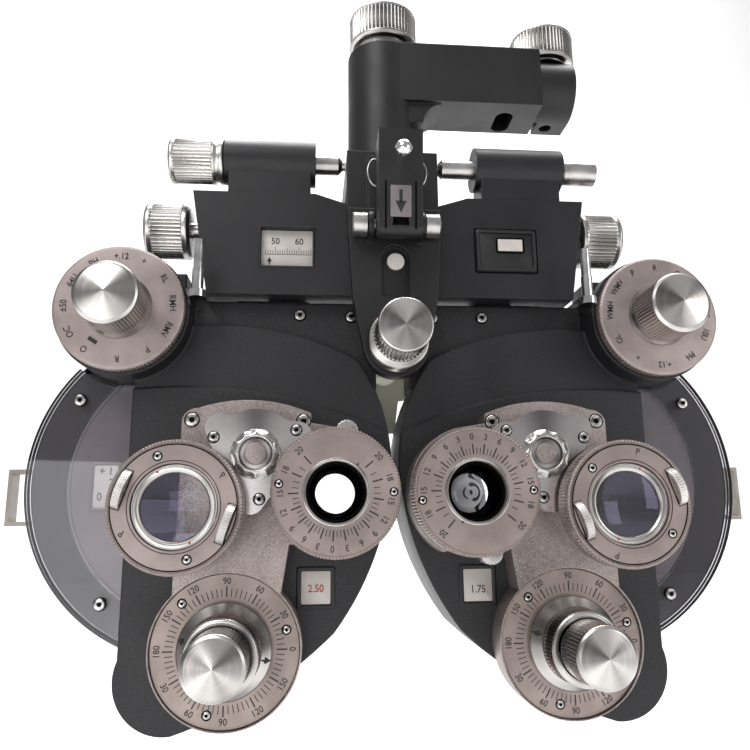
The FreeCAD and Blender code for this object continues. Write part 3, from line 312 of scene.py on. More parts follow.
paint = {
    "arm": castingPaint("satinBlackArmPaint", "#0f0e10", "#181719", 0.46),
    "black": castingPaint("satinBlackYokePaint", "#0d0c0e", "#161517", 0.45),
    "housing": castingPaint("satinBlackHousingPaint", "#0e0d10", "#17161a", 0.45),
    "shell": sprayedPowder("charcoalShellPaint", "#0f0e11", "#19171b", "#4c4850"),
}
steel = {
    "turned": turnedSteel("turnedNickelSteel", "#6b6866", "#d9d6d2"),
    "plain": plainSteel("platedSteel", "#a8a5a3", "#d9d6d3"),
    "dark": plainSteel("blackOxideSteel", "#0c0c0d", "#19191b", 0.4),
    "satin": plainSteel("satinNickelSteel", "#7f7873", "#a39b95", 0.42),
    "chrome": plainSteel("brightChrome", "#c4c4c5", "#ececec", 0.12),
    "gloss": plainSteel("glossBlackAnodised", "#0b0a0e", "#1a1820", 0.22),
}
silver = blastedSilver("beadBlastedAluminium", "#736a67", "#b3a8a4")
cover = clearAcrylic("clearAcrylicCover")
lensGlass = coatedGlass("coatedCrownGlass", "#fbfbfd", "#d0c9f0")
panelGrey = mouldedPlastic("greyIndexPanel", "#625b5d", "#736b6d", 0.4)
restPlastic = mouldedPlastic("paleRestPlastic", "#eeeed6", "#f8f8e6", 0.35)
blackInk = inkFilled("blackEngravingFill", "#121212", "#242323")
redInk = inkFilled("redEngravingFill", "#8e1f1d", "#b2302b")
whitePlate = mouldedPlastic("palePrintedScale", "#b9b2ad", "#cfc9c4", 0.45, 0.5)
print("finishes made:", len(bpy.data.materials))

# CAD nodes that keep their own shape and take a finish
hub = (53.96, 0.0, 0.0)
nodePaint = {"mount_arm": paint["arm"], "yoke_bracket": paint["black"], "pd_housing": paint["housing"],
             "rod_holder": paint["black"], "rod_holder_pin": steel["plain"], "forehead_rest": restPlastic,
             "level_screw": steel["plain"], "spring_plunger": steel["plain"], "pd_spindle": steel["plain"]}
reach = 32.27
prismAt = (hub[0] + reach * math.cos(math.radians(206.3)), reach * math.sin(math.radians(206.3)))
jccAt = (hub[0] + reach * math.cos(math.radians(324)), reach * math.sin(math.radians(324)))
auxAt = (108.8, 57.9)
cylinderAt = (64.2, -69.5)
dialColours = ("#857975", "#a0938e")
for side, m in sides.items():
    shapes = {"front_shell": paint["shell"], "rear_shell": paint["shell"], "clear_cover": cover,
              "face_plate": silver, "pd_slide": paint["black"], "vergence_lever": steel["chrome"],
              "temple_sight": steel["satin"], "head_screws": steel["plain"], "aux_lens_disc": steel["dark"],
              "sphere_wheel": steel["dark"], "cylinder_disc": steel["dark"],
              "prism_lens_ring": steel["dark"],
              "prism_holder": steel["plain"], "jcc_holder": steel["plain"], "prism_pinion": steel["plain"]}
    tag = side.capitalize()
    shapes["turret_plate"] = spunSteel("spunTurretPlate" + tag, "#6f696b", "#e9e3e2", (m * hub[0], 0, 0), 3)
    shapes["jcc_flip_ring"] = satinDial("satinFlipRing" + tag, "#a9a4a1", "#d8d3cf",
        (m * jccAt[0], 0, jccAt[1]))
    shapes["cyl_dial"] = satinDial("satinCylinderDial" + tag, "#887b76", "#a69892",
        (m * cylinderAt[0], 0, cylinderAt[1]))
    shapes["prism_dial"] = satinDial("satinPrismDial" + tag, *dialColours, (m * prismAt[0], 0, prismAt[1]),
        120, 22.0)
    shapes["jcc_cell"] = satinDial("satinCrossCylinderCell" + tag, *dialColours,
        (m * jccAt[0], 0, jccAt[1]), 120, 22.0)
    for name, finish in shapes.items():
        nodePaint[side + "_" + name] = finish
for name, finish in nodePaint.items():
    mesh = nodes[name].data
    mesh.materials.clear()
    mesh.materials.append(finish)
for side in sides:
    nodes[side + "_clear_cover"].visible_shadow = False  # light passes the thin acrylic
print("node finishes set:", len(nodePaint))


def putPiece(name, shapes, finish, body, crease=35, solid=True):
    # one mesh object at the origin from shapes in drawing mm: (points, faces) or (points, faces, corner UVs)
    points, faces, corners, total = [], [], [], 0
    for shape in shapes:
        points.append(shape[0])
        faces += [[k + total for k in face] for face in shape[1]]
        total += len(shape[0])
        if len(shape) > 2:
            corners.append(shape[2])
    mesh = bpy.data.meshes.new(name)
    mesh.from_pydata(toRow(np.vstack(points)).tolist(), [], faces)
    mesh.materials.append(finish)
    if corners:
        layer = mesh.uv_layers.new(name="UVMap")
        layer.data.foreach_set("uv", np.vstack(corners).astype(np.float32).ravel())
    if solid:
        work = bmesh.new()
        work.from_mesh(mesh)
        bmesh.ops.recalc_face_normals(work, faces=work.faces)
        work.to_mesh(mesh)
        work.free()
    mesh.shade_smooth()
    mesh.set_sharp_from_angle(angle=math.radians(crease))
    mesh.update()
    piece = bpy.data.objects.new(name, mesh)
    bpy.context.scene.collection.objects.link(piece)
    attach(piece, body)
    return piece


axes = {"x": np.array([[0, 1, 0], [0, 0, 1], [1, 0, 0]], float),
        "y": np.array([[0, 0, 1], [1, 0, 0], [0, 1, 0]], float),
        "z": np.array([[1, 0, 0], [0, 1, 0], [0, 0, 1]], float)}


def softened(profile, radius, closed=False):
    # each corner of a profile becomes three points of a parabola that starts and ends radius away from it
    profile = np.asarray(profile, float)
    before, after = np.roll(profile, 1, 0) - profile, np.roll(profile, -1, 0) - profile
    lengths = np.stack([np.hypot(before[:, 0], before[:, 1]), np.hypot(after[:, 0], after[:, 1])], -1)
    cut = np.minimum(radius, 0.45 * lengths.min(1))[:, None]
    start = profile + before * cut / np.maximum(lengths[:, :1], 1e-9)
    end = profile + after * cut / np.maximum(lengths[:, 1:], 1e-9)
    rows = np.stack([start, (start + 2 * profile + end) / 4, end], 1)
    return rows.reshape(-1, 3) if closed else np.vstack([profile[:1], rows[1:-1].reshape(-1, 3),
        profile[-1:]])


def turned(at, axis, profile, flutes=0, depth=0.0, soften=0.3, count=96, closed=False, phase=0.0):
    # Surface of revolution with grooves along it. At height s and angle t the radius is
    # r(s) - depth * share(s) * (1 - |sin(flutes * t / 2)|): the groove is sharp and the ridge round.
    profile = np.array([row if len(row) > 2 else (*row, 0) for row in profile], float)
    rows = softened(profile, soften, closed) if soften else profile
    if not closed:  # a small ring close to each pole keeps a cone's shading straight
        rows = np.vstack([rows[:1], 0.95 * rows[:1] + 0.05 * rows[1:2], rows[1:-1],
            0.95 * rows[-1:] + 0.05 * rows[-2:-1], rows[-1:]])
    count = flutes * max(6, count // flutes) if flutes else count
    t = np.arange(count) * 2 * math.pi / count + math.radians(phase)
    groove = 1 - np.abs(np.sin(flutes * t / 2)) if flutes else np.zeros(count)
    poles = [not closed and rows[0, 1] < 1e-6, not closed and rows[-1, 1] < 1e-6]
    inner = rows[int(poles[0]):len(rows) - int(poles[1])]
    radius = inner[:, 1:2] - depth * inner[:, 2:3] * groove[None, :]
    u, v, a = axes[axis] if isinstance(axis, str) else axis
    base = np.asarray(at, float)
    points = (base + inner[:, 0][:, None, None] * a + radius[..., None] * (
        np.cos(t)[None, :, None] * u + np.sin(t)[None, :, None] * v)).reshape(-1, 3)
    levels = len(inner)
    i, j = np.meshgrid(np.arange(levels if closed else levels - 1), np.arange(count), indexing="ij")
    up, across = (i + 1) % levels, (j + 1) % count
    quads = np.stack([i * count + j, i * count + across, up * count + across, up * count + j],
        -1).reshape(-1, 4)
    run = np.concatenate([[0], np.cumsum(np.hypot(np.diff(inner[:, 0]), np.diff(inner[:, 1])))]) / 1000
    run = np.append(run, run[-1] + 0.001)
    corners = [np.stack([np.stack([(j + dj) / count, run[i + di]], -1)
                         for dj, di in ((0, 0), (1, 0), (1, 1), (0, 1))], -2).reshape(-1, 2)]
    faces = quads.tolist()
    k = np.arange(count)
    for index, pole in enumerate(poles):
        if not pole:
            continue
        points = np.vstack([points, base + a * rows[-index, 0]])
        first = (levels - 1) * count * index
        faces += np.column_stack([first + k, first + (k + 1) % count,
            np.full(count, len(points) - 1)]).tolist()
        level = run[(levels - 1) * index]
        corners.append(np.stack([k / count, np.full(count, level), (k + 1) / count, np.full(count, level),
                                 (k + 0.5) / count, np.full(count, level + 0.01 * (2 * index - 1))],
                                 -1).reshape(-1, 2))
    return points, faces, np.vstack(corners)


def framed(outline, rows, hollow=False):
    # A profile carried round an outline: row k is the outline moved in by its inset, at its depth y.
    # Each corner moves along the sum of its two edge normals over (1 + their dot product).
    outline = np.asarray(outline, float)
    edge = np.roll(outline, -1, 0) - outline
    area = (outline[:, 0] * np.roll(outline[:, 1], -1) - np.roll(outline[:, 0], -1) * outline[:, 1]).sum()
    normal = np.sign(area) * np.stack([edge[:, 1], -edge[:, 0]], -1) / np.hypot(*edge.T)[:, None]
    before = np.roll(normal, 1, 0)
    corner = (normal + before) / (1 + (normal * before).sum(1, keepdims=True))
    rows = np.asarray(rows, float)
    flat = outline[None] - rows[:, 0][:, None, None] * corner[None]
    points = np.stack([flat[..., 0], np.broadcast_to(rows[:, 1][:, None], flat.shape[:2]), flat[..., 1]],
        -1).reshape(-1, 3)
    n, levels = len(outline), len(rows)
    i, j = np.meshgrid(np.arange(levels if hollow else levels - 1), np.arange(n), indexing="ij")
    up, across = (i + 1) % levels, (j + 1) % n
    faces = np.stack([i * n + j, i * n + across, up * n + across, up * n + j], -1).reshape(-1, 4).tolist()
    if not hollow:
        faces += [list(range(n)), list(range((levels - 1) * n, levels * n))]
    return points, faces


def roundedBox(x0, x1, z0, z1, radius, steps=5):
    # a rectangle whose corners are quarter circles
    t = np.linspace(0, math.pi / 2, steps)
    quarter = [(x1 - radius, z1 - radius, 0), (x0 + radius, z1 - radius, 1), (x0 + radius, z0 + radius, 2),
        (x1 - radius, z0 + radius, 3)]
    return np.vstack([np.stack([x + radius * np.cos(t + k * math.pi / 2),
        z + radius * np.sin(t + k * math.pi / 2)], -1)
                      for x, z, k in quarter])


def wire(path, radius, around=12):
    # a circle carried along a path, square to the path's direction, with closed ends
    path = np.asarray(path, float)
    along = np.gradient(path, axis=0)
    along /= np.linalg.norm(along, axis=1, keepdims=True)
    side = np.cross(along, [0.13, 0.97, 0.21])
    side /= np.linalg.norm(side, axis=1, keepdims=True)
    other = np.cross(along, side)
    t = np.arange(around) * 2 * math.pi / around
    points = (path[:, None] + radius * (np.cos(t)[None, :, None] * side[:, None] + np.sin(t)[None, :,
        None] * other[:, None])).reshape(-1, 3)
    i, j = np.meshgrid(np.arange(len(path) - 1), np.arange(around), indexing="ij")
    nextJ = (j + 1) % around
    faces = np.stack([i * around + j, i * around + nextJ, (i + 1) * around + nextJ, (i + 1) * around + j],
        -1).reshape(-1, 4).tolist()
    return points, faces + [list(range(around)), list(range((len(path) - 1) * around, len(path) * around))]


def letters(words, height):
    # outline letters made a flat mesh, centred on zero, height tall, in mm
    curve = bpy.data.curves.new("letters", "FONT")
    curve.body = words
    curve.align_x = "CENTER"
    curve.align_y = "CENTER"
    curve.resolution_u = 3
    curve.offset = 0.012
    holder = bpy.data.objects.new("letters", curve)
    bpy.context.scene.collection.objects.link(holder)
    bpy.context.view_layer.update()
    mesh = bpy.data.meshes.new_from_object(holder.evaluated_get(bpy.context.evaluated_depsgraph_get()))
    points = np.zeros(len(mesh.vertices) * 3)
    mesh.vertices.foreach_get("co", points)
    faces = [list(face.vertices) for face in mesh.polygons]
    bpy.data.objects.remove(holder)
    bpy.data.curves.remove(curve)
    bpy.data.meshes.remove(mesh)
    points = points.reshape(-1, 3)
    points[:, 2] = 0
    return points * height / 0.75, faces


def onPlate(words, height, x, y, z, turn=0.0, squeeze=0.9):
    # letters on a plate that faces the examiner, turned counter-clockwise by turn degrees
    flat, faces = letters(words, height)
    c, s = math.cos(math.radians(turn)), math.sin(math.radians(turn))
    return np.array([x, y, z]) + flat[:, :1] * squeeze * np.array([c, 0, s]) + flat[:,
        1:2] * np.array([-s, 0, c]), faces


def stroke(x, y, z, angle, start, end, width, endWidth=None, endY=None):
    # a mark along the radius at angle degrees, from start to end out of (x, z);
    # endWidth 0 makes an arrow head
    c, s = math.cos(math.radians(angle)), math.sin(math.radians(angle))
    out, side = np.array([c, 0, s]), np.array([-s, 0, c]) / 2
    base, far = np.array([x, y, z]), np.array([x, y if endY is None else endY, z])
    wide = width if endWidth is None else endWidth
    points = [base + out * start - side * width, far + out * end - side * wide,
              far + out * end + side * wide, base + out * start + side * width]
    return (np.array(points), [[0, 1, 2, 3]]) if wide else (np.array(points[:2] + points[3:]), [[0, 1, 2]])


def polar(centre, radius, angle):
    # the point at a radius and an angle in degrees from a centre
    t = math.radians(angle)
    return centre[0] + radius * math.cos(t), centre[1] + radius * math.sin(t)


def capScrew(x, face, z, radius=2.3, height=1.2, phase=12.0):
    # a socket head screw seen from the front: its head, and dark pieces in its hexagon socket and in the seat
    # ring round it, painted as the shade in those recesses
    head = turned((x, 0, z), "y", [(face + 0.2, 0), (face + 0.2, radius), (face - height + 0.3, radius),
        (face - height, radius - 0.4),
                                   (face - height, 0)], count=32, soften=0.15)
    # painted shade: a thin dark hexagon stands for the shade in the socket
    socketShade = turned((x, 0, z), "y", [(face - height + 0.1, 0), (face - height - 0.03, radius * 0.47),
        (face - height - 0.03, 0)],
                    count=6, soften=0, phase=phase)
    # painted shade: a thin dark ring stands for the shade in the seat round the head
    seatShade = turned((x, 0, z), "y", [(face + 0.2, 0), (face + 0.2, radius + 0.38),
        (face - 0.06, radius + 0.38), (face - 0.06, 0)],
                  count=32, soften=0)
    return head, socketShade, seatShade


def putGlass(name, shapes, finish, body):
    # a lens, which casts no shadow on what lies behind it
    piece = putPiece(name, shapes, finish, body)
    piece.visible_shadow = False


def putScrews(name, places, body):
    # screw heads as one piece, and the painted shade of their sockets and seats as another
    heads, socketShades, seatShades = zip(*[capScrew(*place) for place in places])
    putPiece(name + "SocketShades", socketShades + seatShades, steel["dark"], body)
    return putPiece(name, heads, steel["turned"], body)


# Knobs of the arm, the yoke and the interpupillary housing: places and profiles
# (along the axis, radius, share of fluting)
frameKnobs = {
    "postLockKnob": {"at": (0, 54, 0), "axis": "z", "node": "post_lock_knob", "body": "post_lock",
        "flutes": 52, "depth": 0.8, "profile": [
        (199.3, 0), (199.3, 13), (204.5, 13), (204.5, 15.4), (205.7, 16.7), (206.6, 16.7), (206.9, 16.5, 1),
        (219.9, 16.5, 1), (220.2, 16.7), (221.0, 16.6), (222.0, 15.3), (222.2, 11), (222.4, 0)]},
    "armClampKnob": {"at": (82, 57, 0), "axis": "z", "node": "arm_clamp_knob", "body": "arm_clamp",
        "flutes": 50, "depth": 0.8, "profile": [
        (199.3, 0), (199.3, 12), (200.1, 12), (200.1, 14.6), (201.3, 15.8), (202.0, 15.8), (202.3, 15.6, 1),
        (215.0, 15.6, 1), (215.3, 15.8), (216.1, 15.7), (217.0, 14.4), (217.2, 10), (217.4, 0)]},
    "levelGrip": {"at": (0, 31.5, 130.5), "axis": "x", "node": "level_knob", "body": "level_nut",
        "flutes": 36, "depth": 0.7, "profile": [
        (-95.9, 0), (-95.9, 8.6), (-95.0, 9.8), (-93.6, 9.8), (-93.3, 9.6, 1), (-77.6, 9.6, 1),
            (-77.3, 9.8),
        (-76.4, 9.8), (-76.2, 8.9), (-74.6, 8.9), (-74.4, 9.7), (-72.9, 9.7), (-72.7, 9.2), (-72.7, 0)]},
    "leftPupilKnob": {"at": (0, 45, 103.3), "axis": "x", "node": "pd_knobs", "body": "pd_drive",
        "flutes": 44, "depth": 0.75, "profile": [
        (-107.1, 0), (-107.1, 8), (-107, 11.3), (-105.8, 12.6), (-103.9, 12.6), (-103.6, 12.4, 1),
            (-90.9, 12.4, 1), (-90.6, 12.6),
        (-88.6, 12.6), (-87.4, 11.2), (-87.4, 0)]},
    "rightPupilKnob": {"at": (0, 45, 103.3), "axis": "x", "node": "pd_knobs", "body": "pd_drive",
        "flutes": 44, "depth": 0.75, "profile": [
        (87.4, 0), (87.4, 11.2), (88.6, 12.6), (90.6, 12.6), (90.9, 12.4, 1), (103.6, 12.4, 1),
            (103.9, 12.6), (105.8, 12.6),
        (107, 11.3), (107.1, 8), (107.1, 0)]},
    "restKnob": {"at": (0, 0, 45.4), "axis": "y", "node": "forehead_knob", "body": "rest_knob",
        "flutes": 40, "depth": 0.7, "profile": [
        (-14.9, 0), (-14.2, 9.9), (-13.6, 10.4), (-12.9, 10.4), (-12.6, 10.2, 1), (1.8, 10.2, 1),
            (2.1, 10.4),
        (2.9, 10.4), (3.1, 9.3), (6.3, 9.3), (6.5, 11.6), (7.6, 12.4), (14.4, 12.4), (15.6, 11.2),
            (15.9, 3.2), (64, 3), (64, 0)]},
}
for name, spec in frameKnobs.items():
    knob = putPiece(name, [turned(spec["at"], spec["axis"], spec["profile"], spec["flutes"],
        spec["depth"])],
                    steel["turned"], spec["body"])
    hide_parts(spec["node"])
print("frame knobs turned")

# Knobs of each head; x and z are those of the right head
headKnobs = {
    "AxisKnob": {"at": cylinderAt, "node": "cyl_axis_knob", "body": "cyl_axis", "flutes": 64, "depth": 0.75,
        "closed": True, "profile": [
        (-3, 10.9), (-3, 12.4), (-2.3, 13.2), (-2.0, 13.2, 1), (5.6, 13.2, 1), (6.2, 13.3), (7.2, 13.4),
        (10.2, 16.2), (11, 17), (13.2, 17), (13.6, 16.4), (13.6, 10.9)]},
    "PowerKnob": {"at": cylinderAt, "node": "cyl_power_knob", "body": "cyl_power", "flutes": 52,
        "depth": 0.7, "profile": [
        (-21.6, 0), (-20.1, 9.3), (-19.4, 10.4), (-19, 10.6), (-18.6, 10.6, 1), (-4.2, 10.6, 1),
            (-3.8, 10.5),
        (-3.4, 10), (-3.4, 4), (12, 4), (12, 0)]},
    "AuxKnob": {"at": auxAt, "node": "aux_dial", "body": "aux_hand", "flutes": 56, "depth": 0.7,
        "profile": [
        (-9.2, 0), (-7.5, 10.7), (-6.8, 11.8), (-6.3, 12), (-6.0, 12, 1), (7.6, 12, 1), (8.0, 11.9),
            (8.4, 11.4),
        (10.3, 12.6), (11.7, 13), (11.7, 0)]},
}
for side, m in sides.items():
    for name, spec in headKnobs.items():
        x, z = spec["at"]
        knob = putPiece(side + name, [turned((m * x, 0, z), "y", spec["profile"], spec["flutes"],
            spec["depth"],
                                             closed=spec.get("closed", False))], steel["turned"],
                                             side + "_" + spec["body"])
        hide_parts(side + "_" + spec["node"])
    finish = satinDial("satinAuxiliaryDial" + side.capitalize(), "#8b807d", "#a79b97",
        (m * auxAt[0], 0, auxAt[1]), 110, 24.7)
    plate = putPiece(side + "AuxDial", [turned((m * auxAt[0], 0, auxAt[1]), "y", [
        (11.6, 0), (11.7, 24.1), (12.4, 25.1), (12.7, 25.1, 1), (16.2, 25.1, 1), (16.9, 24.4), (16.9, 0)],
        96, 0.45)],
        finish, side + "_aux_hand")
print("head knobs turned")

# Turret: scalloped hub ring, its button, and the screws of the three-lobed plate
turretHub = {"scallops": 12, "screws": [(69.3, 1.6, 6.1), (39.4, 1.6, 8.75), (52.4, 1.6, -16.25)]}
for side, m in sides.items():
    ring = turned((m * hub[0], 0, 0), "y", [(1.9, 0), (1.9, 9.2), (1.1, 9.2), (0.5, 8.6, 0.7),
        (-0.1, 7.9, 0.8),
                                           (-0.7, 7.2, 0.6), (-1.0, 6.6, 0.3), (-0.9, 6.1), (0.4, 5.6),
                                           (1.1, 4.7), (1.1, 0)],
                  turretHub["scallops"], -0.9, soften=0.4, count=288)
    putPiece(side + "HubRing", [ring], steel["plain"], side + "_turret", 50)
    button = turned((m * hub[0], 0, 0), "y", [(1.3, 0), (1.3, 4.1), (-0.5, 4.1), (-0.9, 3.7), (-1.0, 0)],
        count=48)
    putPiece(side + "HubButton", [button], silver, side + "_turret")
    putScrews(side + "PlateScrews", [(m * x, y, z, 1.9, 0.9, 17 * k) for k,
        (x, y, z) in enumerate(turretHub["screws"])], side + "_turret")
print("turret hubs made")

# Screws of each head; they stand for the plain ones of the frame
headScrews = [(39.2, 32.4, 61.6, 2.3, 1.2), (17.5, 32.4, 61.2, 2.3, 1.2), (127.8, 35.4, 25.1, 2.3, 1.2),
    (114.9, 35.4, -54.9, 2.3, 1.2),
              (79.1, 12.8, 14, 2.6, 0.4), (36.9, 12.8, 13.6, 2.6, 0.4)]
for side, m in sides.items():
    screws = putScrews(side + "HeadScrewCaps", [(m * x, *rest) for x, *rest in headScrews], side + "_head")
    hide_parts(side + "_head_screws")

# Cylinder dial: degrees, screws and the axis arrows
cylinder = {"centre": cylinderAt, "face": 13.95, "ticks": (18.5, 21.5), "label": 24.1, "height": 2.5}
for side, m in sides.items():
    centre = (m * cylinder["centre"][0], cylinder["centre"][1])
    x0, z0, y0 = *centre, cylinder["face"]
    marks = [stroke(x0, y0, z0, step * 5, cylinder["ticks"][0],
        cylinder["ticks"][1] + (0.8 if step % 6 == 0 else 0),
                    0.5 if step % 6 == 0 else 0.3) for step in range(72)]
    for angle in range(0, 360, 30):
        x, z = polar(centre, cylinder["label"], angle)
        marks.append(onPlate(str(angle if angle <= 180 else angle - 180), cylinder["height"], x, y0, z,
                             angle - 90 + (180 if 195 < angle < 345 else 0)))
    putPiece(side + "CylinderScale", marks, blackInk, side + "_head", solid=False)
    screwPlaces = [(*polar(centre, radius, angle), angle) for radius,
        angle in ((22.9, 134), (22.9, 17), (22.4, 255))]
    putScrews(side + "DialScrews", [(x, 14.0, z, 1.45, 0.5, angle) for x, z, angle in screwPlaces],
        side + "_head")
    arrows = []
    for angle in (164, -11):
        arrows.append(stroke(x0, 7.6, z0, angle, 14.1, 15.3, 0.6, endY=9.0))
        arrows.append(stroke(x0, 8.7, z0, angle, 15.1, 17.0, 2.4, 0, 10.7))
    putPiece(side + "AxisArrows", arrows, blackInk, side + "_cyl_axis", solid=False)
print("cylinder dials engraved")

# Rotary prism: dioptres both ways from a zero at the bottom of the left dial and the top of the right one
prism = {"zero": {"left": -94, "right": 95}, "pinion": {"left": 80, "right": -78}, "reach": 21.9,
    "face": -10.26, "spread": 1.85, "full": 21}


def dioptreAngle(side, unit):
    # the two prisms turn against each other, so the dioptres follow a sine:
    # angle = zero + spread * asin(unit / full)
    return prism["zero"][side] + prism["spread"] * math.degrees(math.asin(unit / prism["full"]))


for side, m in sides.items():
    centre = (m * prismAt[0], prismAt[1])
    x0, z0, y0 = *centre, prism["face"]
    marks = []
    for unit in range(-20, 21):
        major = unit % 3 == 0 or abs(unit) == 20
        marks.append(stroke(x0, y0, z0, dioptreAngle(side, unit), 13.1, 16.8 if major else 15.4,
            0.5 if major else 0.28))
    for unit in (0, 3, 6, 9, 12, 15, 18, 20):
        for way in ((1, -1) if unit else (1,)):
            x, z = polar(centre, 19.3, dioptreAngle(side, way * unit))
            marks.append(onPlate(str(unit), 2.4, x, y0, z, dioptreAngle(side, way * unit) - 90))
    marks.append(stroke(x0, y0, z0, prism["zero"][side] + 146, 11.0, 12.9, 1.9, 0))
    putPiece(side + "PrismScale", marks, blackInk, side + "_prism", solid=False)
    screwPlaces = [polar(centre, 20.1, (dioptreAngle(side, 16.6) + dioptreAngle(side, 15.9)) / 2),
        polar(centre, 20.1, dioptreAngle(side, -16.3))]
    putScrews(side + "PrismScrews", [(x, -10.2, z, 1.2, 0.5) for x, z in screwPlaces], side + "_prism")
    bezel = turned((x0, 0, z0), "y", [(-10.4, 10.9), (-10.4, 11.7), (-10.15, 11.9), (-9.4, 11.9),
        (-8.6, 10.7), (-9.6, 10.7)], closed=True, soften=0.12)
    putPiece(side + "PrismBezel", [bezel], steel["turned"], side + "_prism")
    rim = turned((x0, 0, z0), "y", [(-9.7, 21.2), (-9.9, 22.3, 1), (-9.3, 23.0, 1), (-2.0, 23.0, 1),
        (-1.2, 22.4, 1), (-1.2, 21.2)],
                 120, 0.35, soften=0.2, closed=True)
    putPiece(side + "PrismRim", [rim], nodePaint[side + "_prism_dial"], side + "_prism", 50)
    # stepped and threaded barrel that carries the prism glasses
    barrel = [(-7.1, 10.2), (-7.3, 9.6)] + [(-6.6 + 0.95 * k + 0.47 * odd,
        9.5 - 0.16 * k - 0.35 * odd) for k in range(13) for odd in (0, 1)]
    barrel += [(6.4, 7.2), (6.4, 9.4), (-6.4, 9.45), (-6.6, 10.2)]
    putPiece(side + "PrismBarrel", [turned((x0, 0, z0), "y", barrel, closed=True, soften=0.05)],
        steel["gloss"], side + "_prism_lens", 50)
    glass = turned((x0, 0, z0), "y", [(6.3, 0), (6.3, 7.25), (5.2, 7.3), (4.9, 5), (4.6, 2.5), (4.5, 0)],
        soften=0.05)
    putGlass(side + "PrismGlass", [glass], lensGlass, side + "_prism_lens")
    x, z = polar(centre, prism["reach"], prism["pinion"][side])
    teeth = turned((x, 0, z), "y", [(-8.3, 0), (-8.3, 3.7), (-8.0, 4.1, 1), (-1.9, 4.1, 1), (-1.4, 3.7),
        (-1.4, 0)], 18, 0.7, soften=0.15)
    putPiece(side + "PrismPinion", [teeth], steel["plain"], side + "_pinion", 50)
print("rotary prisms made")

# Cross cylinder: letters, dark rings painted as the shade in its grooves, toothed ring, flip ring with its
# dots, glass and thumb wheels
cross = {"tilt": 18.6, "left": {"letters": ((33, -25), (207, 155)), "screws": (110, -74),
    "dots": (118, -65)},
         "right": {"letters": ((77, -17), (251, 163)), "screws": (136, -36), "dots": (68, -112)}}
for side, m in sides.items():
    centre = (m * jccAt[0], jccAt[1])
    x0, z0 = centre
    marks = []
    for angle, turn in cross[side]["letters"]:
        x, z = polar(centre, 18.9, angle)
        marks.append(onPlate("P", 2.5, x, -10.76, z, turn))
    putPiece(side + "CrossLetters", marks, blackInk, side + "_jcc", solid=False)
    putScrews(side + "CrossScrews", [(*place[:1], -10.7, place[1], 1.35, 0.5) for place in
                                     [polar(centre, 18.2, angle) for angle in cross[side]["screws"]]],
                                     side + "_jcc")
    dots = [turned((*polar(centre, 13.3, angle)[:1], 0, polar(centre, 13.3, angle)[1]), "y",
        [(-9.6, 0), (-9.6, 0.45), (-9.8, 0.45), (-9.82, 0)],
                   count=16, soften=0) for angle in cross[side]["dots"]]
    putPiece(side + "CrossDots", dots, redInk, side + "_jcc_lens")
    # painted shade: thin dark rings stand for the shade in the two grooves
    groove = [turned((x0, 0, z0), "y", [(-10.6, low), (-10.6, high), (-10.78, high), (-10.78, low)],
        closed=True, soften=0.0)
              for low, high in ((21.0, 21.45), (15.5, 15.75))]
    putPiece(side + "CrossGrooveShade", groove, steel["dark"], side + "_jcc")
    outer = turned((x0, 0, z0), "y", [(-10.2, 21.5), (-10.6, 22.2), (-10.2, 22.9), (-9.4, 23.0),
        (-8.8, 22.9), (-8.8, 21.5)], closed=True, soften=0.3)
    putPiece(side + "CrossOuterRing", [outer], nodePaint[side + "_jcc_cell"], side + "_jcc")
    teeth = turned((x0, 0, z0), "y", [(-8.5, 21.5), (-8.5, 23.0, 1), (-5.4, 23.0, 1), (-5.1, 21.5)], 100,
        0.5, soften=0.1, closed=True)
    putPiece(side + "CrossToothedRing", [teeth], steel["turned"], side + "_jcc", 50)
    flip = turned((x0, 0, z0), "y", [(-9.75, 12.5), (-9.8, 13.9), (-9.3, 14.35), (-7.0, 14.35),
        (-6.6, 13.9), (-6.7, 12.2), (-7.6, 11.6), (-9.0, 11.6)],
                  closed=True, soften=0.25)
    putPiece(side + "FlipRing", [flip], steel["turned"], side + "_jcc_lens")
    tilt = math.radians(cross["tilt"])
    along = np.array([m * math.cos(tilt), 0, math.sin(tilt)])
    wheelAxes = np.array([[0, 1, 0], np.cross(along, [0, 1, 0]), along])
    wheels = [turned((x0, -8.2, z0), wheelAxes, [(reach - 1.35, 0), (reach - 1.35, 6.6),
        (reach - 1.0, 7.25, 1), (reach + 1.0, 7.25, 1),
                                                 (reach + 1.35, 6.6), (reach + 1.35, 0)], 44, 0.5,
                                                 soften=0.1) for reach in (-18.5, 18.5)]
    putPiece(side + "ThumbWheels", wheels, steel["plain"], side + "_jcc_lens", 50)
    glass = turned((x0, 0, z0), "y", [(-8.75, 0), (-8.6, 11.9), (-7.7, 11.9), (-7.6, 0)], soften=0.02)
    putGlass(side + "CrossGlass", [glass], lensGlass, side + "_jcc_lens")
print("cross cylinders made")

# Auxiliary dial legends: generic names of the test lenses, tops outwards
auxiliary = {"left": {90: "+.12", 65: "+", 35: "RL", 5: "RMH", -25: "RMV", -55: "P", -88: "R", -125: "O",
    -150: "OC", 180: "±50", 150: "64U", 120: "PH"},
             "right": {90: "R", 62: "O", 35: "OC", 5: "±50", -22: "10U", -55: "PH", -88: "+.12", -120: "+",
                 -150: "GL", 175: "WMH", 145: "WMV", 118: "P"}}
for side, m in sides.items():
    centre = (m * auxAt[0], auxAt[1])
    marks = []
    for angle, words in auxiliary[side].items():
        x, z = polar(centre, 20.6, angle)
        marks.append(onPlate(words, 2.75, x, 11.58, z, angle - 90, 0.86))
    marks.append(stroke(centre[0], 11.58, centre[1], -123 if side == "left" else 75, 15.3, 16.9, 3.9))
    putPiece(side + "AuxiliaryLegend", marks, blackInk, side + "_aux_hand", solid=False)
print("auxiliary legends engraved")

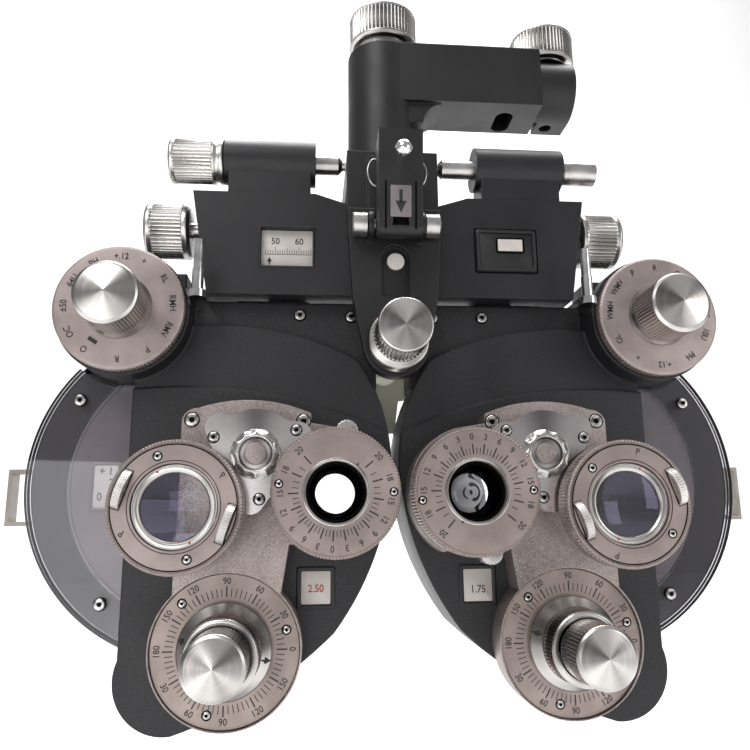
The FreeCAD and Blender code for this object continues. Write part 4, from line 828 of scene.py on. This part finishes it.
# Index panel under the clear cover, its window and numbers, and the knurled edge of the sphere wheel
panel = {"centre": (76.7, -8.9), "radius": 54.3, "inner": 106.3, "window": (110.2, 122.4, -19.6, 0.2),
    "face": 38.0}
for side, m in sides.items():
    limit = math.acos((panel["inner"] - panel["centre"][0]) / panel["radius"])
    t = np.linspace(-limit + 0.03, limit - 0.03, 41)
    outline = np.stack([panel["centre"][0] + panel["radius"] * np.cos(t),
        panel["centre"][1] + panel["radius"] * np.sin(t)], -1)
    outline = np.vstack([outline, [(panel["inner"], outline[-1, 1] - 1.5),
        (panel["inner"], outline[0, 1] + 1.5)]]) * [m, 1]
    plate = framed(outline, [(0, 39.3), (0, 38.4), (0.4, 38.0), (1.0, 38.0), (1.2, 38.3), (1.6, 38.3)])
    putPiece(side + "IndexPanel", [plate], panelGrey, side + "_head", 50)
    rim = framed(outline, [(-0.9, 39.2), (-0.9, 37.9), (-0.5, 37.6), (-0.1, 37.7), (-0.05, 39.2)], True)
    putPiece(side + "IndexPanelRim", [rim], cover, side + "_head", 50)
    x0, x1, z0, z1 = panel["window"]
    low, high = sorted((m * x0, m * x1))
    bezel = framed(roundedBox(low, high, z0, z1, 1.2), [(0, 38.6), (0, 37.95), (0.35, 37.7), (0.9, 37.7),
        (1.5, 38.25), (1.6, 38.25), (1.6, 38.6)], True)
    putPiece(side + "ReadoutBezel", [bezel], panelGrey, side + "_head", 50)
    plates = framed(roundedBox(low + 1.5, high - 1.5, z0 + 1.5, z1 - 1.5, 0.8), [(0, 38.6), (0, 38.24)])
    putPiece(side + "ReadoutPlate", [plates], whitePlate, side + "_head")
    cx, cz = (low + high) / 2, (z0 + z1) / 2
    putPiece(side + "ReadoutNumbers", [onPlate("+ 1", 3.4, cx, 38.18, cz + 6),
        onPlate("2", 3.2, cx + 2.2, 38.18, cz + 1.4),
                                       onPlate("0  1", 3.4, cx, 38.18, cz - 4.2)], blackInk, side + "_head",
                                       solid=False)
    wheel = turned((m * 78, 0, -8.4), "y", [(42, 66), (41.9, 68.6), (42.5, 69.9, 1), (48.0, 69.9, 1),
        (48.6, 68.8), (48.5, 66)],
                   150, 0.7, soften=0.2, closed=True)
    putPiece(side + "SphereWheelEdge", [wheel], steel["dark"], side + "_sphere", 50)
print("index panels made")

# Cylinder power readouts below the prisms
readout = {"centre": (31.7, -49.2), "half": (5.6, 6.1), "left": ("2.50", redInk),
    "right": ("1.75", inkFilled("brownEngravingFill", "#4a2320", "#5e302b"))}
for side, m in sides.items():
    x, z = m * readout["centre"][0], readout["centre"][1]
    w, h = readout["half"]
    surround = framed(roundedBox(x - w - 1.9, x + w + 1.9, z - h - 1.9, z + h + 1.9, 1.2),
        [(0, 25.6), (0, 25.3), (0.5, 24.9), (1.0, 24.9), (1.9, 25.25), (1.9, 25.6)], True)
    putPiece(side + "PowerFrame", [surround], paint["black"], side + "_head", 50)
    plate = framed(roundedBox(x - w, x + w, z - h, z + h, 0.5), [(0, 25.6), (0, 25.2), (0.25, 25.0)])
    putPiece(side + "PowerPlate", [plate], whitePlate, side + "_head", 50)
    words, ink = readout[side]
    putPiece(side + "PowerNumber", [onPlate(words, 3.0, x, 24.93, z - (0.4 if m < 0 else 1.6))], ink,
        side + "_head", solid=False)

# Interpupillary scale in its window, and the small window on the other side
scale = {"box": (-55.7, -34.1, 80.6, 97.4), "at50": -49.8, "arrow": -52.2}
x0, x1, z0, z1 = scale["box"]
putPiece("pupilScalePlate", [framed(roundedBox(x0, x1, z0, z1, 0.4), [(0, 27.5), (0, 26.9), (0.2, 26.8)])],
    whitePlate, "housing")
marks = [onPlate("50", 3.0, scale["at50"], 26.74, 92.4), onPlate("60", 3.0, scale["at50"] + 10, 26.74,
    92.4)]
for unit in range(-4, 16):
    marks.append(stroke(scale["at50"] + unit, 26.74, 86.6, 90, 0,
        3.4 if unit % 10 == 0 else 2.8 if unit % 5 == 0 else 2.0, 0.2))
marks.append(stroke(scale["at50"] + 5.5, 26.74, 86.6, 0, -9.7, 9.7, 0.2))
marks.append(stroke(scale["arrow"], 26.74, 82.0, 90, 0, 1.6, 0.6))
marks.append(stroke(scale["arrow"], 26.74, 82.0, 90, 1.3, 3.4, 2.2, 0))
putPiece("pupilScaleMarks", marks, blackInk, "housing", solid=False)
putPiece("pupilScaleFrame", [framed(roundedBox(x0 - 1.0, x1 + 1.0, z0 - 1.0, z1 + 1.0, 0.8),
                                    [(0, 24.0), (0, 23.6), (0.4, 23.35), (0.8, 23.4), (1.0, 23.8),
                                        (1.0, 24.0)], True)], paint["housing"], "housing",
                                        50)
putPiece("indexWindowPlate", [framed(roundedBox(35.9, 62.3, 79.9, 98.9, 0.8),
    [(0, 25.2), (0, 23.6), (0.5, 23.3)])],
         paint["black"], "housing", 50)
putPiece("indexWindowLip", [framed(roundedBox(36.1, 62.1, 80.1, 98.7, 1.6),
    [(0, 23.4), (0, 22.9), (0.4, 22.6), (1.1, 22.6), (1.5, 23.0), (1.5, 23.4)], True)],
         paint["housing"], "housing", 50)
putPiece("indexWindowFrame", [framed(roundedBox(44.6, 57.0, 88.2, 95.2, 0.9),
    [(0, 23.3), (0, 22.7), (0.4, 22.4), (0.8, 22.8), (0.8, 23.3)], True)],
         steel["dark"], "housing", 50)
putPiece("indexWindowGlass", [framed(roundedBox(45.4, 56.2, 89.0, 94.4, 0.3), [(0, 23.3), (0, 22.9)])],
    whitePlate, "housing")
print("housing scale made")

# Rod holder: label with an arrow on its slope, dark strips painted as the shade in the slots beside it, and
# two spring clips; round cap on the yoke
def onSlope(shape, lift):
    # the face of the rod holder falls back 5.5 mm over 38 mm: y = 5.5 * (126 - z) / 38 - 9.4
    points, faces = shape[:2]
    points = points.copy()
    points[:, 1] += 5.5 * (126 - points[:, 2]) / 38 - 9.4 - lift
    return points, faces


holderLabel = {"box": (-4.1, 4.1, 91.2, 103.6), "radius": 0.4}
putPiece("holderLabel", [onSlope(framed(roundedBox(*holderLabel["box"], holderLabel["radius"]),
    [(0, 0.3), (0, 0), (0.15, -0.1)]), 0.05)], panelGrey, "rod_block")
putPiece("holderLabelArrow", [onSlope(stroke(0, 0, 101.8, -90, 0, 5.2, 1.3), 0.22),
    onSlope(stroke(0, 0, 101.8, -90, 4.4, 9.2, 4.4, 0), 0.22)],
         blackInk, "rod_block", solid=False)
# painted shade: thin dark strips stand for the shade in the two slots
putPiece("holderSlotShade", [onSlope(framed(roundedBox(x - 0.35, x + 0.35, 86.5, 105.4, 0.3),
    [(0, 0.3), (0, 0)]), 0.04) for x in (-5.9, 5.9)],
         steel["dark"], "rod_block")
t = np.linspace(0, 1, 25)
for side, m in sides.items():
    bow = np.sin(math.pi * t) ** 0.45
    path = np.stack([m * (8.4 + 3.6 * bow), 6.5 - 1.0 * bow, 121.0 - 12.0 * t], -1)
    putPiece(side + "HolderClip", [wire(path, 0.4)], steel["plain"], "rod_block", 60)
angle = np.linspace(0, math.pi, 31)[:-5]
ball = [(-16.1 - 3.4 * math.cos(a), 3.4 * math.sin(a)) for a in angle] + [(-12.6, 1.9), (-8.2, 1.9),
    (-8.0, 0)]
putPiece("holderBall", [turned((0, 0, 113.6), "y", ball, soften=0.02, count=64)], steel["chrome"],
    "rod_block", 50)
putPiece("yokeCap", [turned((0.4, 0, 81.3), "y", [(18.8, 0), (18.8, 3.7), (17.9, 3.7), (17.6, 3.4),
    (17.5, 0)], count=48, soften=0.15)],
         whitePlate, "yoke")
print("rod holder details made")

# Camera: where the examiner's eye stood, in drawing mm and radians
view = {"place": (-33.59, -261.88, -24.60), "yaw": -0.0886872, "pitch": 0.2023991, "roll": 0.00933484,
    "lens": 34.345}
camera = bpy.data.cameras.new("examinerView")
camera.lens = view["lens"]
camera.sensor_width = 36
camera.clip_start = 0.01
cameraObject = bpy.data.objects.new("examinerView", camera)
bpy.context.scene.collection.objects.link(cameraObject)
turn = Matrix.Rotation(view["yaw"], 4, "Z") @ Matrix.Rotation(view["pitch"], 4,
    "X") @ Matrix.Rotation(view["roll"], 4, "Y")
upright = Matrix.Rotation(math.radians(90), 4, "X")  # a camera at rest looks down
cameraObject.matrix_world = Matrix.Translation(toRow(view["place"]).tolist()) @ turn @ upright
bpy.context.scene.camera = cameraObject

# Studio: a pale sweep below and behind, lit on its own, and soft boxes round the instrument
studio = {"floor": -0.42, "wall": 1.7, "bend": 0.5, "tone": "#f4f4f4", "room": 0.42,
          "lamps": {"keyBox": ((-0.7, -0.95, 0.85), (0, 40, 40), 0.75, 8.5),
              "fillBox": ((0.95, -0.85, 0.05), (0, 40, 20), 0.6, 3.4),
                    "topBox": ((0.0, 0.15, 1.0), (0, 40, 40), 0.8, 6.5),
                    "lowBox": ((-0.45, -0.8, -0.36), (0, 40, 0), 0.5, 1.6),
                    "wallBox": ((0.0, 0.55, 1.9), (0, 1600, 300), 1.6, 42),
                    "floorBox": ((0.0, 1.0, 1.4), (0, 900, -400), 1.2, 14)}}
arc = np.linspace(-math.pi / 2, 0, 13)
alongY = np.concatenate([[-2.5], studio["wall"] - studio["bend"] + studio["bend"] * np.cos(arc),
    [studio["wall"]]])
alongZ = np.concatenate([[studio["floor"]], studio["floor"] + studio["bend"] + studio["bend"] * np.sin(arc),
    [3.2]])
count = len(alongY)
sweep = np.stack([np.repeat([-3.2, 3.2], count), np.tile(alongY, 2), np.tile(alongZ, 2)], -1)
k = np.arange(count - 1)
sweepMesh = bpy.data.meshes.new("studioSweep")
sweepMesh.from_pydata(sweep.tolist(), [], np.stack([k, k + count, k + count + 1, k + 1], -1).tolist())
sweepMesh.shade_smooth()
sweepMesh.materials.append(newFinish("paleSweep", studio["tone"], Roughness=0.9)[0])
floor = bpy.data.objects.new("studioSweep", sweepMesh)
bpy.context.scene.collection.objects.link(floor)
world = bpy.data.worlds.new("softRoom")
bpy.context.scene.world = world
world.use_nodes = True
world.node_tree.nodes["Background"].inputs["Color"].default_value = hexLinear("#f3f2f4")
world.node_tree.nodes["Background"].inputs["Strength"].default_value = studio["room"]
for name, (place, target, size, power) in studio["lamps"].items():
    lamp = bpy.data.lights.new(name, "AREA")
    lamp.size = size
    lamp.energy = power
    lampObject = bpy.data.objects.new(name, lamp)
    bpy.context.scene.collection.objects.link(lampObject)
    lampObject.location = place
    lampObject.rotation_euler = Vector((toRow(target) - np.array(place)).tolist()).to_track_quat("-Z",
        "Y").to_euler()
bpy.context.scene.view_settings.view_transform = "Standard"
print("camera and studio set")
